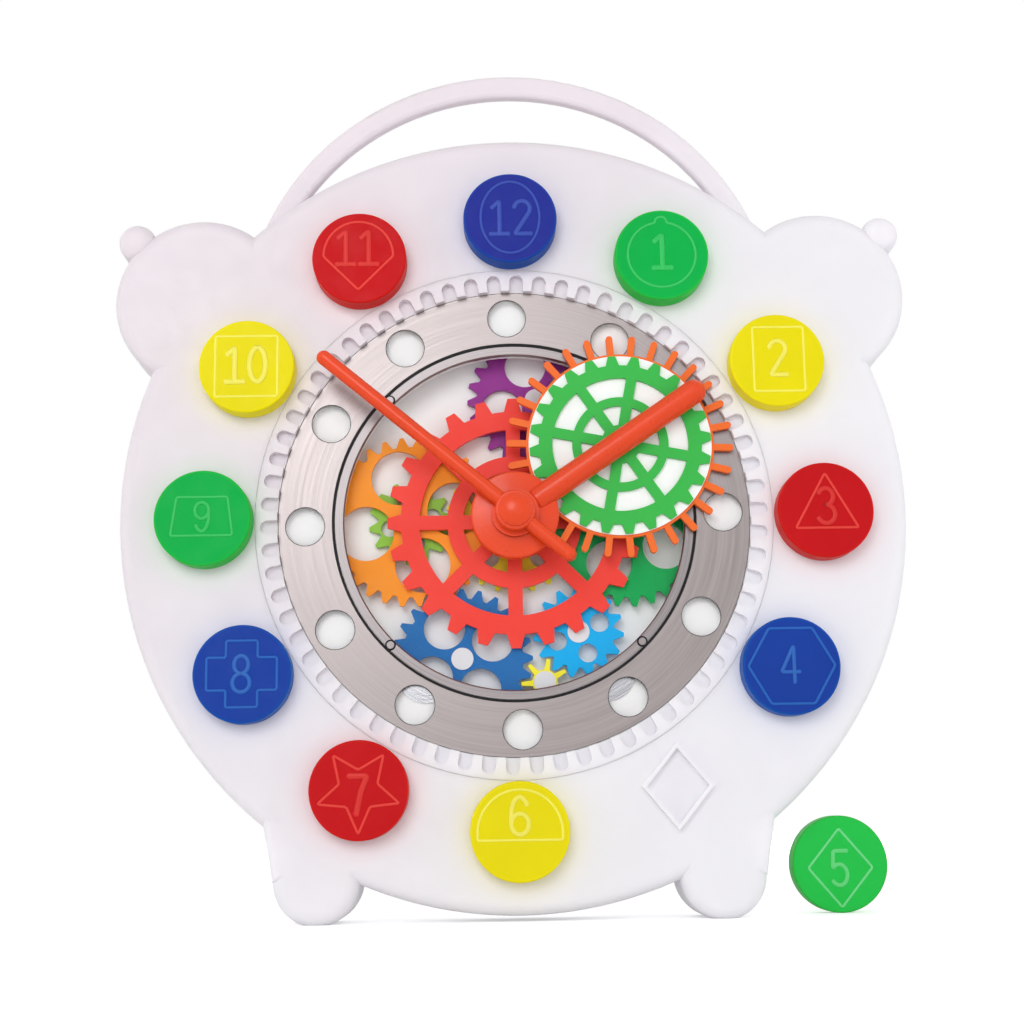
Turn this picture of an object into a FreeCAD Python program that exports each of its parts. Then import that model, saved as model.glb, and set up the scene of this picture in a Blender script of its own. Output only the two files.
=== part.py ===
import FreeCAD, Part
import math
import os
from types import SimpleNamespace

import Sketcher
from FreeCAD import Placement, Rotation, Vector

# Geared teaching clock. The dial frame has x to the right, y up and z towards the reader,
# with its origin on the hand axis in the middle of the case's depth.
# Every sub-part is drawn in that frame and then stood up, so that z is up and the dial faces -y.
# Angles on the dial run clockwise from twelve.

DRIVING_SIZES = {
    # Case outline
    "case_margin": 15.2, "case_rise": 3.1, "case_half": 16.0, "case_wall": 2.8, "case_edge": 5.0,
    "ground_clearance": 2.1,
    "ear_radius": 33.5, "ear_turn": 55.0, "ear_inset": 2.9,
    "knob_radius": 7.2, "knob_turn": 45.9, "knob_out": 2.4,
    "handle_radius": 105.8, "handle_sink": 74.2, "handle_taper": 8.4, "grip_drop": 0.8,
    "handle_start": 28.5, "handle_depth": 6.0, "handle_edge": 2.0,
    "foot_radius": 16.0, "foot_across": 74.5, "foot_flat": 0.7,
    "flare_out": 4.0, "flare_height": 23.7, "flare_width": 34.5, "flare_edge": 3.0,
    # Case joint and screws
    "lip_height": 2.0, "lip_root": 3.0, "lip_thickness": 2.1, "lip_clearance": 0.1,
    "screw_count": 6, "screw_turn": 15.0, "case_screw_inset": 12.0, "case_boss_radius": 4.5,
    "case_screw_radius": 1.5, "case_screw_head": 2.9, "case_screw_head_height": 2.0,
    "case_screw_depth": 7.0, "case_screw_grip": 9.0, "screw_clearance": 0.2, "head_clearance": 0.4,
    "prop_radius": 62.5, "prop_thickness": 2.5,
    # Number discs and their seats
    "disc_radius": 18.1, "disc_thickness": 8.5, "disc_edge": 0.8, "disc_gap": 0.4,
    "ridge_height": 3.0, "ridge_width": 1.4, "seat_clearance": 0.3, "pocket_depth": 3.4,
    "loose_disc_gap": 13.2, "loose_disc_front": -7.45,
    "circle_radius": 13.1, "bump_radius": 2.3, "rectangle_width": 20.4, "rectangle_height": 25.2,
    "triangle_width": 24.3, "triangle_height": 20.9, "hexagon_radius": 16.5,
    "diamond_width": 26.5, "diamond_height": 32.0, "arch_radius": 15.4, "arch_height": 20.2,
    "star_radius": 16.4, "star_waist": 8.1, "plus_width": 26.9, "plus_height": 25.4, "plus_arm": 12.0,
    "trapezoid_top": 20.2, "trapezoid_bottom": 24.2, "trapezoid_height": 15.5, "square_side": 23.6,
    "drop_radius": 13.8, "drop_point": 13.4, "ellipse_width": 23.5, "ellipse_height": 28.4,
    # Ring gear, planet and sun
    "hand_module": 2.74, "planet_pegs": 30, "sun_teeth": 6, "ring_tip_drop": 0.47,
    "ring_gap_depth": 5.88, "gap_half_width": 2.6, "gap_floor_room": 0.5, "ring_wall": 1.9,
    "ring_thickness": 4.8, "ring_flange": 1.8, "ring_clearance": 0.1, "planet_rim_drop": 5.1,
    "peg_reach": 2.4, "peg_half_width": 1.3, "planet_thickness": 2.5, "face_drop": 1.0,
    "face_thickness": 0.8, "green_tip_drop": 0.3, "green_tooth_height": 3.6, "green_teeth": 24,
    "green_thickness": 1.4, "green_tooth_root": 2.6, "green_tooth_tip": 1.4,
    "sun_root_drop": 3.02, "sun_tip_rise": 2.38, "sun_tooth_root": 1.3, "sun_tooth_tip": 1.0,
    "pin_radius": 2.5, "pin_depth": 2.4, "clip_radius": 5.0, "clip_thickness": 1.0,
    "running_clearance": 0.05, "end_clearance": 0.1, "planet_float": 0.2,
    # Steel ring and window
    "steel_fit": 0.25, "steel_thickness": 1.5,
    "steel_step": 1.1, "steel_step_height": 0.5, "steel_drop": 3.0,
    "steel_hole_radius": 7.45, "steel_hole_turn": -1.3, "hour_count": 12,
    "gasket_width": 0.9, "gasket_gap": 0.1, "pane_radius": 68.3, "pane_thickness": 1.5,
    "bezel_width": 3.5, "bezel_thickness": 1.7, "bezel_edge": 0.5, "bezel_drop": 3.4,
    "rivet_radius": 0.6, "rivet_head": 1.4, "rivet_head_height": 0.5,
    "rivet_count": 4, "rivet_turn": 45.0,
    "frame_lip": 3.3, "frame_fit": 1.3, "frame_floor": 1.4,
    "frame_rib_gap": 0.7, "frame_rib_width": 3.0, "frame_rib_lap": 0.5, "frame_rim_width": 0.8,
    "pad_turn": 149.8, "pad_inset": 1.0, "pad_radius": 10.4, "pad_step": 1.45, "pad_rise": 0.6,
    "pad_gap": 0.1,
    # Movement tray
    "tray_seat": 2.9, "tray_wall": 2.9, "tray_floor": 2.8, "tray_seat_gap": 0.2,
    "tray_flange_width": 11.8, "tray_flange": 3.2, "tray_screw_out": 7.3,
    "tray_boss_radius": 3.5, "tray_screw_radius": 1.2, "tray_screw_head": 2.6,
    "tray_screw_head_height": 1.8, "tray_screw_bite": 1.2,
    # Arbor, bushes and posts
    "arbor_radius": 3.0, "arbor_tail": 2.8, "shoulder_radius": 5.0, "bush_radius": 5.0,
    "bush_flange_radius": 7.0, "bush_flange": 0.7, "sun_hub_radius": 4.2, "arbor_clip_radius": 5.5,
    "post_radius": 2.8, "post_foot_radius": 4.5, "cap_radius": 4.2, "cap_thickness": 0.4,
    "cap_spigot": 1.2, "cap_spigot_length": 2.0,
    # Hands
    "minute_turn": 310.0, "hour_turn": 55.83, "hand_gap": 0.4,
    "hour_hub_radius": 16.6, "hour_hub_height": 4.9, "hour_hub_edge": 1.0, "hour_crown_radius": 9.0,
    "hour_crown_rise": 1.1, "hour_groove": 0.8, "hour_top_rise": 1.5, "hour_rod_radius": 4.7,
    "hour_rod_lift": 3.4, "hour_rod_start": 10.0, "hour_rod_reach": 83.3,
    "minute_lift": 0.6, "minute_collar_radius": 9.0, "minute_collar_height": 1.9,
    "minute_hub_radius": 7.5, "minute_rod_seat": 0.3, "minute_rod_radius": 2.8, "minute_rod_reach": 92.8,
    "minute_tail_radius": 2.7, "minute_tail_reach": 25.7, "minute_hub_edge": 0.8,
    "cap_dome_radius": 6.2, "cap_side": 1.0, "cap_dome": 2.0, "cap_plug": 2.0,
    # Window gears
    "gear_module": 2.1, "gear_thickness": 2.0, "gear_gap": 0.8, "gear_headroom": 1.4,
    "tooth_addendum": 0.75, "tooth_dedendum": 1.0, "flank_angle": 24.0, "backlash": 0.5,
    "small_addendum": 0.75, "small_dedendum": 1.2, "small_tooth_root": 1.1, "small_tooth_tip": 0.7,
    "yellow_teeth": 24, "light_green_teeth": 14, "orange_teeth": 30, "purple_teeth": 24,
    "blue_teeth": 24, "small_yellow_teeth": 7, "cyan_teeth": 15, "dark_green_teeth": 28,
    "light_green_turn": 271.6, "purple_turn": 10.5, "blue_turn": 160.0,
    "small_yellow_turn": 106.65, "cyan_turn": 34.6, "dark_green_turn": 26.6,
    "gear_hole_count": 4,
    "yellow_hole": 6.0, "yellow_hole_circle": 16.0, "orange_hole": 10.6, "orange_hole_circle": 17.7,
    "light_green_hole": 3.2, "light_green_hole_circle": 8.6,
    "purple_hole": 8.0, "purple_hole_circle": 13.8, "blue_hole": 7.9, "blue_hole_circle": 13.4,
    "cyan_hole": 3.6, "cyan_hole_circle": 8.8, "dark_green_hole": 8.8, "dark_green_hole_circle": 16.1,
    "red_teeth": 24, "red_tip_radius": 48.7, "red_root_radius": 43.5, "red_tooth_root": 3.4,
    "red_tooth_tip": 1.9, "spoke_count": 8, "red_spoke": 5.5, "red_rim_inner": 36.3,
    "red_band_outer": 25.7, "red_band_inner": 19.7, "red_hub_radius": 10.0,
    "green_spoke": 4.0, "green_rim_inner": 26.0, "green_band_outer": 18.4, "green_band_inner": 15.0,
    "green_hub_radius": 7.5,
}

doc = FreeCAD.newDocument("teaching_clock")
sheet = doc.addObject("Spreadsheet::Sheet", "Sizes")
for row, (alias, number) in enumerate(DRIVING_SIZES.items(), 1):
    sheet.set(f"A{row}", alias)
    sheet.set(f"B{row}", str(number))
    sheet.setAlias(f"B{row}", alias)
doc.recompute()


class Size:
    """A length, angle or count, kept as a number and as the sheet expression that gives it."""

    def __init__(self, value, text=None):
        self.value = float(value)
        self.text = text or f"({self.value!r})"

    def __add__(self, other):
        other = as_size(other)
        return Size(self.value + other.value, f"({self.text} + {other.text})")

    def __sub__(self, other):
        other = as_size(other)
        return Size(self.value - other.value, f"({self.text} - {other.text})")

    def __mul__(self, other):
        other = as_size(other)
        return Size(self.value * other.value, f"({self.text} * {other.text})")

    def __truediv__(self, other):
        other = as_size(other)
        return Size(self.value / other.value, f"({self.text} / {other.text})")

    def __neg__(self):
        return as_size(0) - self


def as_size(amount):
    return amount if isinstance(amount, Size) else Size(amount)


def sine(angle):
    return Size(math.sin(math.radians(angle.value)), f"sin({angle.text})")


def cosine(angle):
    return Size(math.cos(math.radians(angle.value)), f"cos({angle.text})")


def tangent(angle):
    return Size(math.tan(math.radians(angle.value)), f"tan({angle.text})")


def other_leg(longest, leg):
    """The second leg of a right triangle from its longest side and one leg."""
    number = math.sqrt(longest.value ** 2 - leg.value ** 2)
    return Size(number, f"sqrt({longest.text}^2 - {leg.text}^2)")


def around(radius, turn, x=0, y=0):
    """The point at a radius and a clockwise turn from twelve, round the centre (x, y)."""
    turn = as_size(turn)
    return radius * sine(turn) + x, radius * cosine(turn) + y


S = SimpleNamespace(**{alias: Size(number, f"Sizes.{alias}") for alias, number in DRIVING_SIZES.items()})


def bind(item, path, amount):
    """Ties a property or constraint to the sheet."""
    item.setExpression(path, as_size(amount).text)


# Radii and places that follow from the driving sizes, in the plane of the dial
ring_gaps = S.planet_pegs * 2 + S.sun_teeth
ring_pitch_radius = S.hand_module * ring_gaps / 2
planet_pitch_radius = S.hand_module * S.planet_pegs / 2
sun_pitch_radius = S.hand_module * S.sun_teeth / 2
planet_centre = planet_pitch_radius + sun_pitch_radius
peg_tip = planet_pitch_radius + S.peg_reach
ring_tip_radius = ring_pitch_radius - S.ring_tip_drop
gap_root_radius = ring_pitch_radius + S.ring_gap_depth
ring_outer_radius = gap_root_radius + S.ring_wall
planet_rim_radius = planet_pitch_radius - S.planet_rim_drop
face_radius = planet_rim_radius - S.face_drop
green_tip_radius = face_radius - S.green_tip_drop
green_root_radius = green_tip_radius - S.green_tooth_height
sun_root_radius = sun_pitch_radius - S.sun_root_drop
sun_tip_radius = sun_pitch_radius + S.sun_tip_rise
bezel_inner_radius = S.pane_radius - S.bezel_width
rivet_circle = S.pane_radius - S.rivet_head
frame_inner_radius = S.pane_radius - S.frame_lip
frame_rib_radius = S.pane_radius + S.frame_rib_gap
steel_inner_radius = frame_rib_radius + S.frame_rib_lap
steel_outer_radius = ring_tip_radius - S.steel_fit
steel_hole_circle = (steel_inner_radius + steel_outer_radius) / 2
frame_outer_radius = steel_outer_radius - S.frame_fit
pad_circle = frame_rib_radius - S.pad_inset
tray_inner_radius = frame_outer_radius - S.tray_seat
tray_outer_radius = frame_outer_radius + S.tray_seat_gap + S.tray_wall
tray_flange_radius = ring_outer_radius + S.tray_flange_width
tray_screw_circle = ring_outer_radius + S.tray_screw_out
disc_circle = ring_outer_radius + S.disc_gap + S.disc_radius
case_radius = disc_circle + S.disc_radius + S.case_margin
case_screw_circle = case_radius - S.case_screw_inset
dial_height = case_radius - S.case_rise + S.ground_clearance
foot_down = dial_height - S.foot_radius + S.foot_flat
loose_disc_across = S.foot_across + S.foot_radius + S.loose_disc_gap + S.disc_radius
ear_across, ear_up = around(case_radius - S.ear_inset, S.ear_turn, 0, S.case_rise)
knob_across, knob_up = around(S.ear_radius + S.knob_out, S.knob_turn, ear_across, ear_up)
handle_up = S.case_rise + case_radius - S.handle_sink
grip_radius = S.handle_radius - S.handle_taper
grip_up = handle_up - S.grip_drop
handle_base = handle_up + S.handle_start

# Places along z, counted from the mid-plane of the case
face_under = S.case_half - S.case_wall
ring_bottom = S.case_half - S.ring_thickness
steel_top = S.case_half - S.steel_drop
steel_bottom = steel_top - S.steel_thickness
bezel_top = S.case_half - S.bezel_drop
bezel_bottom = bezel_top - S.bezel_thickness
pane_bottom = bezel_bottom - S.pane_thickness
frame_bottom = pane_bottom - S.frame_floor
gear_pitch = S.gear_thickness + S.gear_gap
red_bottom = pane_bottom - S.gear_headroom - S.gear_thickness
middle_bottom = red_bottom - gear_pitch
lower_bottom = middle_bottom - gear_pitch
tray_top = lower_bottom - S.gear_gap
tray_bottom = tray_top - S.tray_floor
planet_bottom = S.case_half - S.planet_thickness
green_bottom = S.case_half + S.face_thickness
green_top = green_bottom + S.green_thickness
hour_bottom = green_top + S.hand_gap
hour_crown = hour_bottom + S.hour_hub_height + S.hour_top_rise
hour_rod_axis = hour_bottom + S.hour_rod_lift
minute_bottom = hour_crown + S.minute_lift
minute_collar_top = minute_bottom + S.minute_collar_height
minute_rod_axis = minute_collar_top + S.minute_rod_radius - S.minute_rod_seat
minute_top = minute_rod_axis + S.minute_rod_radius + S.minute_rod_seat
cap_top = minute_top + S.cap_side + S.cap_dome

# The clock is centred over its footprint, front to back
depth_shift = (cap_top - S.case_half) / 2

UPRIGHT = Rotation(Vector(1, 0, 0), 90)
ABOUT_Z = Vector(0, 0, 1)
nodes = []


def stand(item, label, x=0, y=0, z=0, turn=0):
    """Names a finished sub-part and stands it up, turned clockwise on the dial."""
    item.Label = label
    item.Placement = Placement(Vector(), UPRIGHT * Rotation(ABOUT_Z, -as_size(turn).value))
    bind(item, "Placement.Base.x", x)
    bind(item, "Placement.Base.y", depth_shift - z)
    bind(item, "Placement.Base.z", dial_height + y)
    nodes.append(item)
    return item


def place(item, x=0, y=0, z=0):
    """Moves an item inside the dial frame."""
    bind(item, "Placement.Base.x", x)
    bind(item, "Placement.Base.y", y)
    bind(item, "Placement.Base.z", z)
    return item


def cylinder(name, radius, height, x=0, y=0, z=0):
    item = doc.addObject("Part::Cylinder", name)
    bind(item, "Radius", radius)
    bind(item, "Height", height)
    return place(item, x, y, z)


def block(name, length, width, height, x=0, y=0, z=0):
    item = doc.addObject("Part::Box", name)
    bind(item, "Length", length)
    bind(item, "Width", width)
    bind(item, "Height", height)
    return place(item, x, y, z)


def fuse(name, items):
    item = doc.addObject("Part::MultiFuse", name)
    item.Shapes = items
    return item


def cut(name, base, tool):
    item = doc.addObject("Part::Cut", name)
    item.Base = base
    item.Tool = tool
    return item


def group(name, items):
    """Identical separate solids kept as one sub-part."""
    item = doc.addObject("Part::Compound", name)
    item.Links = items
    return item


def extrude(name, profile, height, z=0):
    item = doc.addObject("Part::Extrusion", name)
    item.Base = profile
    item.DirMode = "Custom"
    item.Dir = ABOUT_Z
    item.Solid = True
    bind(item, "LengthFwd", height)
    return place(item, 0, 0, z)


def arc_between(start, end, radius, long_way):
    """The arc from start to end, anticlockwise, or clockwise when the radius is negative."""
    chord = end - start
    left = Vector(-chord.y, chord.x, 0) / chord.Length
    lift = math.sqrt(max(radius ** 2 - (chord.Length / 2) ** 2, 0))
    side = 1 if (radius > 0) != long_way else -1
    centre = (start + end) / 2 + left * lift * side
    first, last = (start, end) if radius > 0 else (end, start)
    from_angle = math.atan2(first.y - centre.y, first.x - centre.x)
    to_angle = math.atan2(last.y - centre.y, last.x - centre.x)
    if to_angle <= from_angle:
        to_angle += 2 * math.pi
    return Part.ArcOfCircle(Part.Circle(centre, ABOUT_Z, abs(radius)), from_angle, to_angle)


def outline(sketch, corners):
    """Draws a closed outline anticlockwise. A corner is (x, y), or (x, y, radius) where an arc
    follows it, or (x, y, radius, True) where that arc goes the long way round."""
    corners = [tuple(as_size(amount) for amount in corner[:3]) + tuple(corner[3:]) for corner in corners]
    points = [Vector(corner[0].value, corner[1].value, 0) for corner in corners]
    count = len(corners)
    starts = []
    for index, corner in enumerate(corners):
        following = points[(index + 1) % count]
        if len(corner) == 2:
            piece = sketch.addGeometry(Part.LineSegment(points[index], following))
            starts.append((piece, 1, 2))
        else:
            long_way = len(corner) > 3
            piece = sketch.addGeometry(arc_between(points[index], following, corner[2].value, long_way))
            starts.append((piece, 1, 2) if corner[2].value > 0 else (piece, 2, 1))
    for index, corner in enumerate(corners):
        piece, start, end = starts[index]
        next_piece, next_start, _ = starts[(index + 1) % count]
        sketch.addConstraint(Sketcher.Constraint("Coincident", piece, end, next_piece, next_start))
        for kind, amount in (("DistanceX", corner[0]), ("DistanceY", corner[1])):
            rule = Sketcher.Constraint(kind, -1, 1, piece, start, amount.value)
            bind(sketch, f"Constraints[{sketch.addConstraint(rule)}]", amount)
        if len(corner) > 2:
            radius = corner[2] if corner[2].value > 0 else -corner[2]
            rule = Sketcher.Constraint("Radius", piece, radius.value)
            bind(sketch, f"Constraints[{sketch.addConstraint(rule)}]", radius)


def origin_item(body, role):
    return next(item for item in body.Origin.OriginFeatures if item.Role == role)


def sketch_on(body, name, role="XY_Plane", z=0):
    sketch = body.newObject("Sketcher::SketchObject", name)
    sketch.AttachmentSupport = (origin_item(body, role), [""])
    sketch.MapMode = "FlatFace"
    bind(sketch, "AttachmentOffset.Base.z", z)
    return sketch


def turned(name, corners):
    """A body turned about the z axis; each corner is (radius, z)."""
    body = doc.addObject("PartDesign::Body", name)
    sketch = sketch_on(body, f"{name}_section", "XZ_Plane")
    outline(sketch, corners)
    revolution = body.newObject("PartDesign::Revolution", f"{name}_turned")
    revolution.Profile = sketch
    revolution.ReferenceAxis = (sketch, ["V_Axis"])
    revolution.Angle = 360
    doc.recompute()
    return body


def plate(name, inner, outer, bottom, top):
    """A flat ring."""
    return turned(name, [(inner, bottom), (outer, bottom), (outer, top), (inner, top)])


def repeat(body, feature, count):
    """Repeats a feature round the z axis and makes the pattern the body's tip."""
    pattern = body.newObject("PartDesign::PolarPattern", f"{feature.Name}_ring")
    pattern.Originals = [feature]
    pattern.Axis = (origin_item(body, "Z_Axis"), [""])
    pattern.Angle = 360
    bind(pattern, "Occurrences", count)
    body.Tip = pattern
    doc.recompute()


def add_teeth(body, corners, bottom, thickness, count):
    sketch = sketch_on(body, f"{body.Name}_tooth_outline", z=bottom)
    outline(sketch, corners)
    tooth = body.newObject("PartDesign::Pad", f"{body.Name}_tooth")
    tooth.Profile = sketch
    bind(tooth, "Length", thickness)
    repeat(body, tooth, count)


def cut_through(body, sketch, name, count):
    """Cuts a profile right through a body and repeats it round the z axis."""
    before = body.Shape.Volume
    opening = body.newObject("PartDesign::Pocket", name)
    opening.Profile = sketch
    opening.Type = "ThroughAll"
    opening.Midplane = True
    doc.recompute()
    if body.Shape.Volume >= before:
        raise RuntimeError(f"{name} cuts nothing")
    repeat(body, opening, count)


def drill(body, name, radius, circle, count, turn=0):
    """Drills round holes on a circle round the z axis."""
    sketch = sketch_on(body, f"{name}_outline")
    x, y = around(circle, turn)
    hole = sketch.addGeometry(Part.Circle(Vector(x.value, y.value, 0), ABOUT_Z, radius.value))
    for kind, amount in (("DistanceX", x), ("DistanceY", y)):
        rule = Sketcher.Constraint(kind, -1, 1, hole, 3, amount.value)
        bind(sketch, f"Constraints[{sketch.addConstraint(rule)}]", amount)
    rule = sketch.addConstraint(Sketcher.Constraint("Radius", hole, radius.value))
    bind(sketch, f"Constraints[{rule}]", radius)
    cut_through(body, sketch, name, count)


def open_windows(body, name, inner, outer, spoke, count):
    """Cuts the openings between straight-sided spokes."""
    half = spoke / 2
    pitch = Size(360) / count
    near_inner, near_outer = (half, other_leg(inner, half)), (half, other_leg(outer, half))

    def far(radius):
        up = other_leg(radius, half)
        return up * sine(pitch) - half * cosine(pitch), half * sine(pitch) + up * cosine(pitch)

    sketch = sketch_on(body, f"{name}_outline")
    outline(sketch, [far(inner), far(outer) + (outer,), near_outer, near_inner + (-inner,)])
    cut_through(body, sketch, name, count)


def straight_tooth(root, tip, root_half, tip_half):
    """A tooth with straight flanks, sunk a little into its rim."""
    foot = other_leg(root, root_half)
    sunk = foot - root_half
    return [(root_half, sunk), (root_half, foot), (tip_half, tip), (-tip_half, tip),
            (-root_half, foot), (-root_half, sunk)]


def round_slot(low, high, half):
    """A slot or peg outline that ends in a half circle at its high end."""
    return [(half, low), (half, high - half, half), (0, high, half), (-half, high - half), (-half, low)]


def on_circle(name, make, count, circle, turn, centre_y=0):
    """Makes one item at each of a number of even turns round a centre on the y axis."""
    items = []
    for index in range(int(count.value)):
        x, y = around(circle, turn + Size(360) / count * index, 0, centre_y)
        items.append(make(f"{name}_{index + 1}", x, y))
    return items


# Case outline: rounded pucks, a handle and two feet, flush with each other
def puck(name, radius, x=0, y=0):
    low, high, edge = -S.case_half, S.case_half, S.case_edge
    body = turned(name, [(0, low), (radius - edge, low, edge), (radius, low + edge),
                         (radius, high - edge, edge), (radius - edge, high), (0, high)])
    return place(body, x, y)


def rounded(name, base, radius, chosen):
    """Rounds the edges of a plain solid that a test picks."""
    doc.recompute()
    item = doc.addObject("Part::Fillet", name)
    item.Base = base
    edges = enumerate(base.Shape.Edges, 1)
    item.Edges = [(number, radius.value, radius.value) for number, edge in edges if chosen(edge)]
    return item


def on_a_face(edge):
    """True for an edge that lies in the front or the back plane of the case."""
    depths = [vertex.Z for vertex in edge.Vertexes]
    return max(depths) - min(depths) < 1e-6


def make_handle():
    """A slim arched bar in the front half of the case's depth."""
    outer = cylinder("handle_outer", S.handle_radius, S.handle_depth, 0, handle_up)
    inner = cylinder("handle_inner", grip_radius, S.handle_depth, 0, grip_up)
    width = S.handle_radius * 2
    lower = block("handle_lower", width, width, S.handle_depth, -S.handle_radius, handle_base - width)
    arch = cut("handle_arch", outer, fuse("handle_gap", [inner, lower]))

    def curved(edge):
        return on_a_face(edge) and edge.Length > S.handle_radius.value

    return rounded("handle", arch, S.handle_edge, curved)


def make_flare(name, side):
    """The straight-sided web that joins a foot to the case."""
    sketch = doc.addObject("Sketcher::SketchObject", f"{name}_outline")
    outer = S.foot_across + S.foot_radius
    inner = outer + S.flare_out - S.flare_width
    top = S.flare_height - foot_down
    corners = [(inner * side, -foot_down), (outer * side, -foot_down),
               ((outer + S.flare_out) * side, top), (inner * side, top)]
    outline(sketch, corners if side > 0 else corners[::-1])
    web = extrude(f"{name}_web", sketch, S.case_half * 2, -S.case_half)
    return rounded(name, web, S.flare_edge, on_a_face)


def make_case_form():
    parts = [puck("case_round", case_radius, 0, S.case_rise), make_handle()]
    for side, word in ((-1, "left"), (1, "right")):
        parts.append(puck(f"{word}_ear", S.ear_radius, ear_across * side, ear_up))
        parts.append(puck(f"{word}_knob", S.knob_radius, knob_across * side, knob_up))
        parts.append(puck(f"{word}_foot", S.foot_radius, S.foot_across * side, -foot_down))
        parts.append(make_flare(f"{word}_flare", side))
    reach = case_radius * 2
    under = block("under_floor", reach, S.foot_radius, S.case_half * 2,
                  -case_radius, -dial_height - S.foot_radius, -S.case_half)
    return cut("case_form", fuse("case_pieces", parts), under)


def make_cavity():
    depth = face_under * 2
    rooms = [cylinder("round_room", case_radius - S.case_wall, depth, 0, S.case_rise, -face_under)]
    for side, word in ((-1, "left"), (1, "right")):
        rooms.append(cylinder(f"{word}_ear_room", S.ear_radius - S.case_wall, depth,
                              ear_across * side, ear_up, -face_under))
        rooms.append(cylinder(f"{word}_foot_room", S.foot_radius - S.case_wall, depth,
                              S.foot_across * side, -foot_down, -face_under))
    return fuse("cavity", rooms)


def half_space(name, z):
    reach = (case_radius + S.handle_radius) * 2
    return block(name, reach, reach, S.case_half * 2, -reach / 2, -reach / 2, z)


# Outlines of the number seats, round the middle of each disc
def polygon(name, points):
    sketch = doc.addObject("Sketcher::SketchObject", name)
    outline(sketch, points)
    return sketch


def centred_box(width, height):
    return [(-width / 2, -height / 2), (width / 2, -height / 2), (width / 2, height / 2),
            (-width / 2, height / 2)]


def circle_with_bump():
    radius, bump = S.circle_radius, S.bump_radius
    y = radius - bump * bump / radius / 2
    x = other_leg(radius, y)
    return [(x, y, bump), (-x, y, radius, True)]


def triangle():
    width, height = S.triangle_width, S.triangle_height
    return [(-width / 2, -height / 2), (width / 2, -height / 2), (0, height / 2)]


def hexagon():
    return [around(S.hexagon_radius, 90 - 60 * corner) for corner in range(6)]


def diamond():
    across, up = S.diamond_width / 2, S.diamond_height / 2
    return [(0, -up), (across, 0), (0, up), (-across, 0)]


def arch():
    half = S.arch_height / 2
    x = other_leg(S.arch_radius, S.arch_height - S.arch_radius)
    return [(-x, -half), (x, -half, S.arch_radius, True)]


def star():
    radii = [S.star_radius, S.star_waist] * 5
    return [around(radius, 180 - 36 * corner) for corner, radius in enumerate(radii)]


def plus():
    across, up, arm = S.plus_width / 2, S.plus_height / 2, S.plus_arm / 2
    quarter = [(arm, -up), (arm, -arm), (across, -arm)]
    right = quarter + [(x, -y) for x, y in reversed(quarter)]
    return right + [(-x, -y) for x, y in right]


def trapezoid():
    bottom, top, up = S.trapezoid_bottom / 2, S.trapezoid_top / 2, S.trapezoid_height / 2
    return [(-bottom, -up), (bottom, -up), (top, up), (-top, up)]


def drop():
    radius = S.drop_radius
    shoulder = (S.drop_point - radius) / 2
    return [(0, shoulder - S.drop_point), (radius, shoulder, radius), (0, shoulder + radius, radius),
            (-radius, shoulder)]


SEAT_OUTLINES = {
    1: circle_with_bump(), 2: centred_box(S.rectangle_width, S.rectangle_height), 3: triangle(),
    4: hexagon(), 5: diamond(), 6: arch(), 7: star(), 8: plus(), 9: trapezoid(),
    10: centred_box(S.square_side, S.square_side), 11: drop(),
}
ARC_SEATS = (1, 6, 11)


def seat_profile(hour, grow, word):
    """The outline of an hour's seat, grown or shrunk all round. Twelve has an ellipse."""
    name = f"seat_{hour}_{word}"
    if hour == 12:
        ellipse = doc.addObject("Part::Ellipse", name)
        bind(ellipse, "MajorRadius", S.ellipse_height / 2 + grow)
        bind(ellipse, "MinorRadius", S.ellipse_width / 2 + grow)
        ellipse.Placement.Rotation = Rotation(ABOUT_Z, 90)
        return ellipse
    sketch = polygon(name, SEAT_OUTLINES[hour])
    if as_size(grow).value == 0:
        return sketch
    grown = doc.addObject("Part::Offset2D", f"{name}_offset")
    grown.Source = sketch
    grown.Join = "Arc" if hour in ARC_SEATS else "Intersection"
    bind(grown, "Value", grow)
    return grown


def make_ridge(hour):
    outer = extrude(f"ridge_{hour}_outer", seat_profile(hour, 0, "edge"), S.ridge_height)
    inner = extrude(f"ridge_{hour}_inner", seat_profile(hour, -S.ridge_width, "inside"), S.ridge_height)
    x, y = around(disc_circle, 30 * hour)
    return place(cut(f"ridge_{hour}", outer, inner), x, y, S.case_half)


def make_number_discs():
    edge = S.disc_edge
    blank = turned("disc_blank", [(0, 0), (S.disc_radius, 0), (S.disc_radius, S.disc_thickness - edge, edge),
                                  (S.disc_radius - edge, S.disc_thickness), (0, S.disc_thickness)])
    for hour in range(1, 13):
        pocket = extrude(f"pocket_{hour}", seat_profile(hour, S.seat_clearance, "pocket"), S.pocket_depth)
        disc = cut(f"disc_{hour}", blank, pocket)
        if hour == 5:
            back = S.loose_disc_front - S.disc_thickness
            stand(disc, "number_5", loose_disc_across, S.disc_radius - dial_height, back)
        else:
            x, y = around(disc_circle, 30 * hour)
            stand(disc, f"number_{hour}", x, y, S.case_half)


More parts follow.
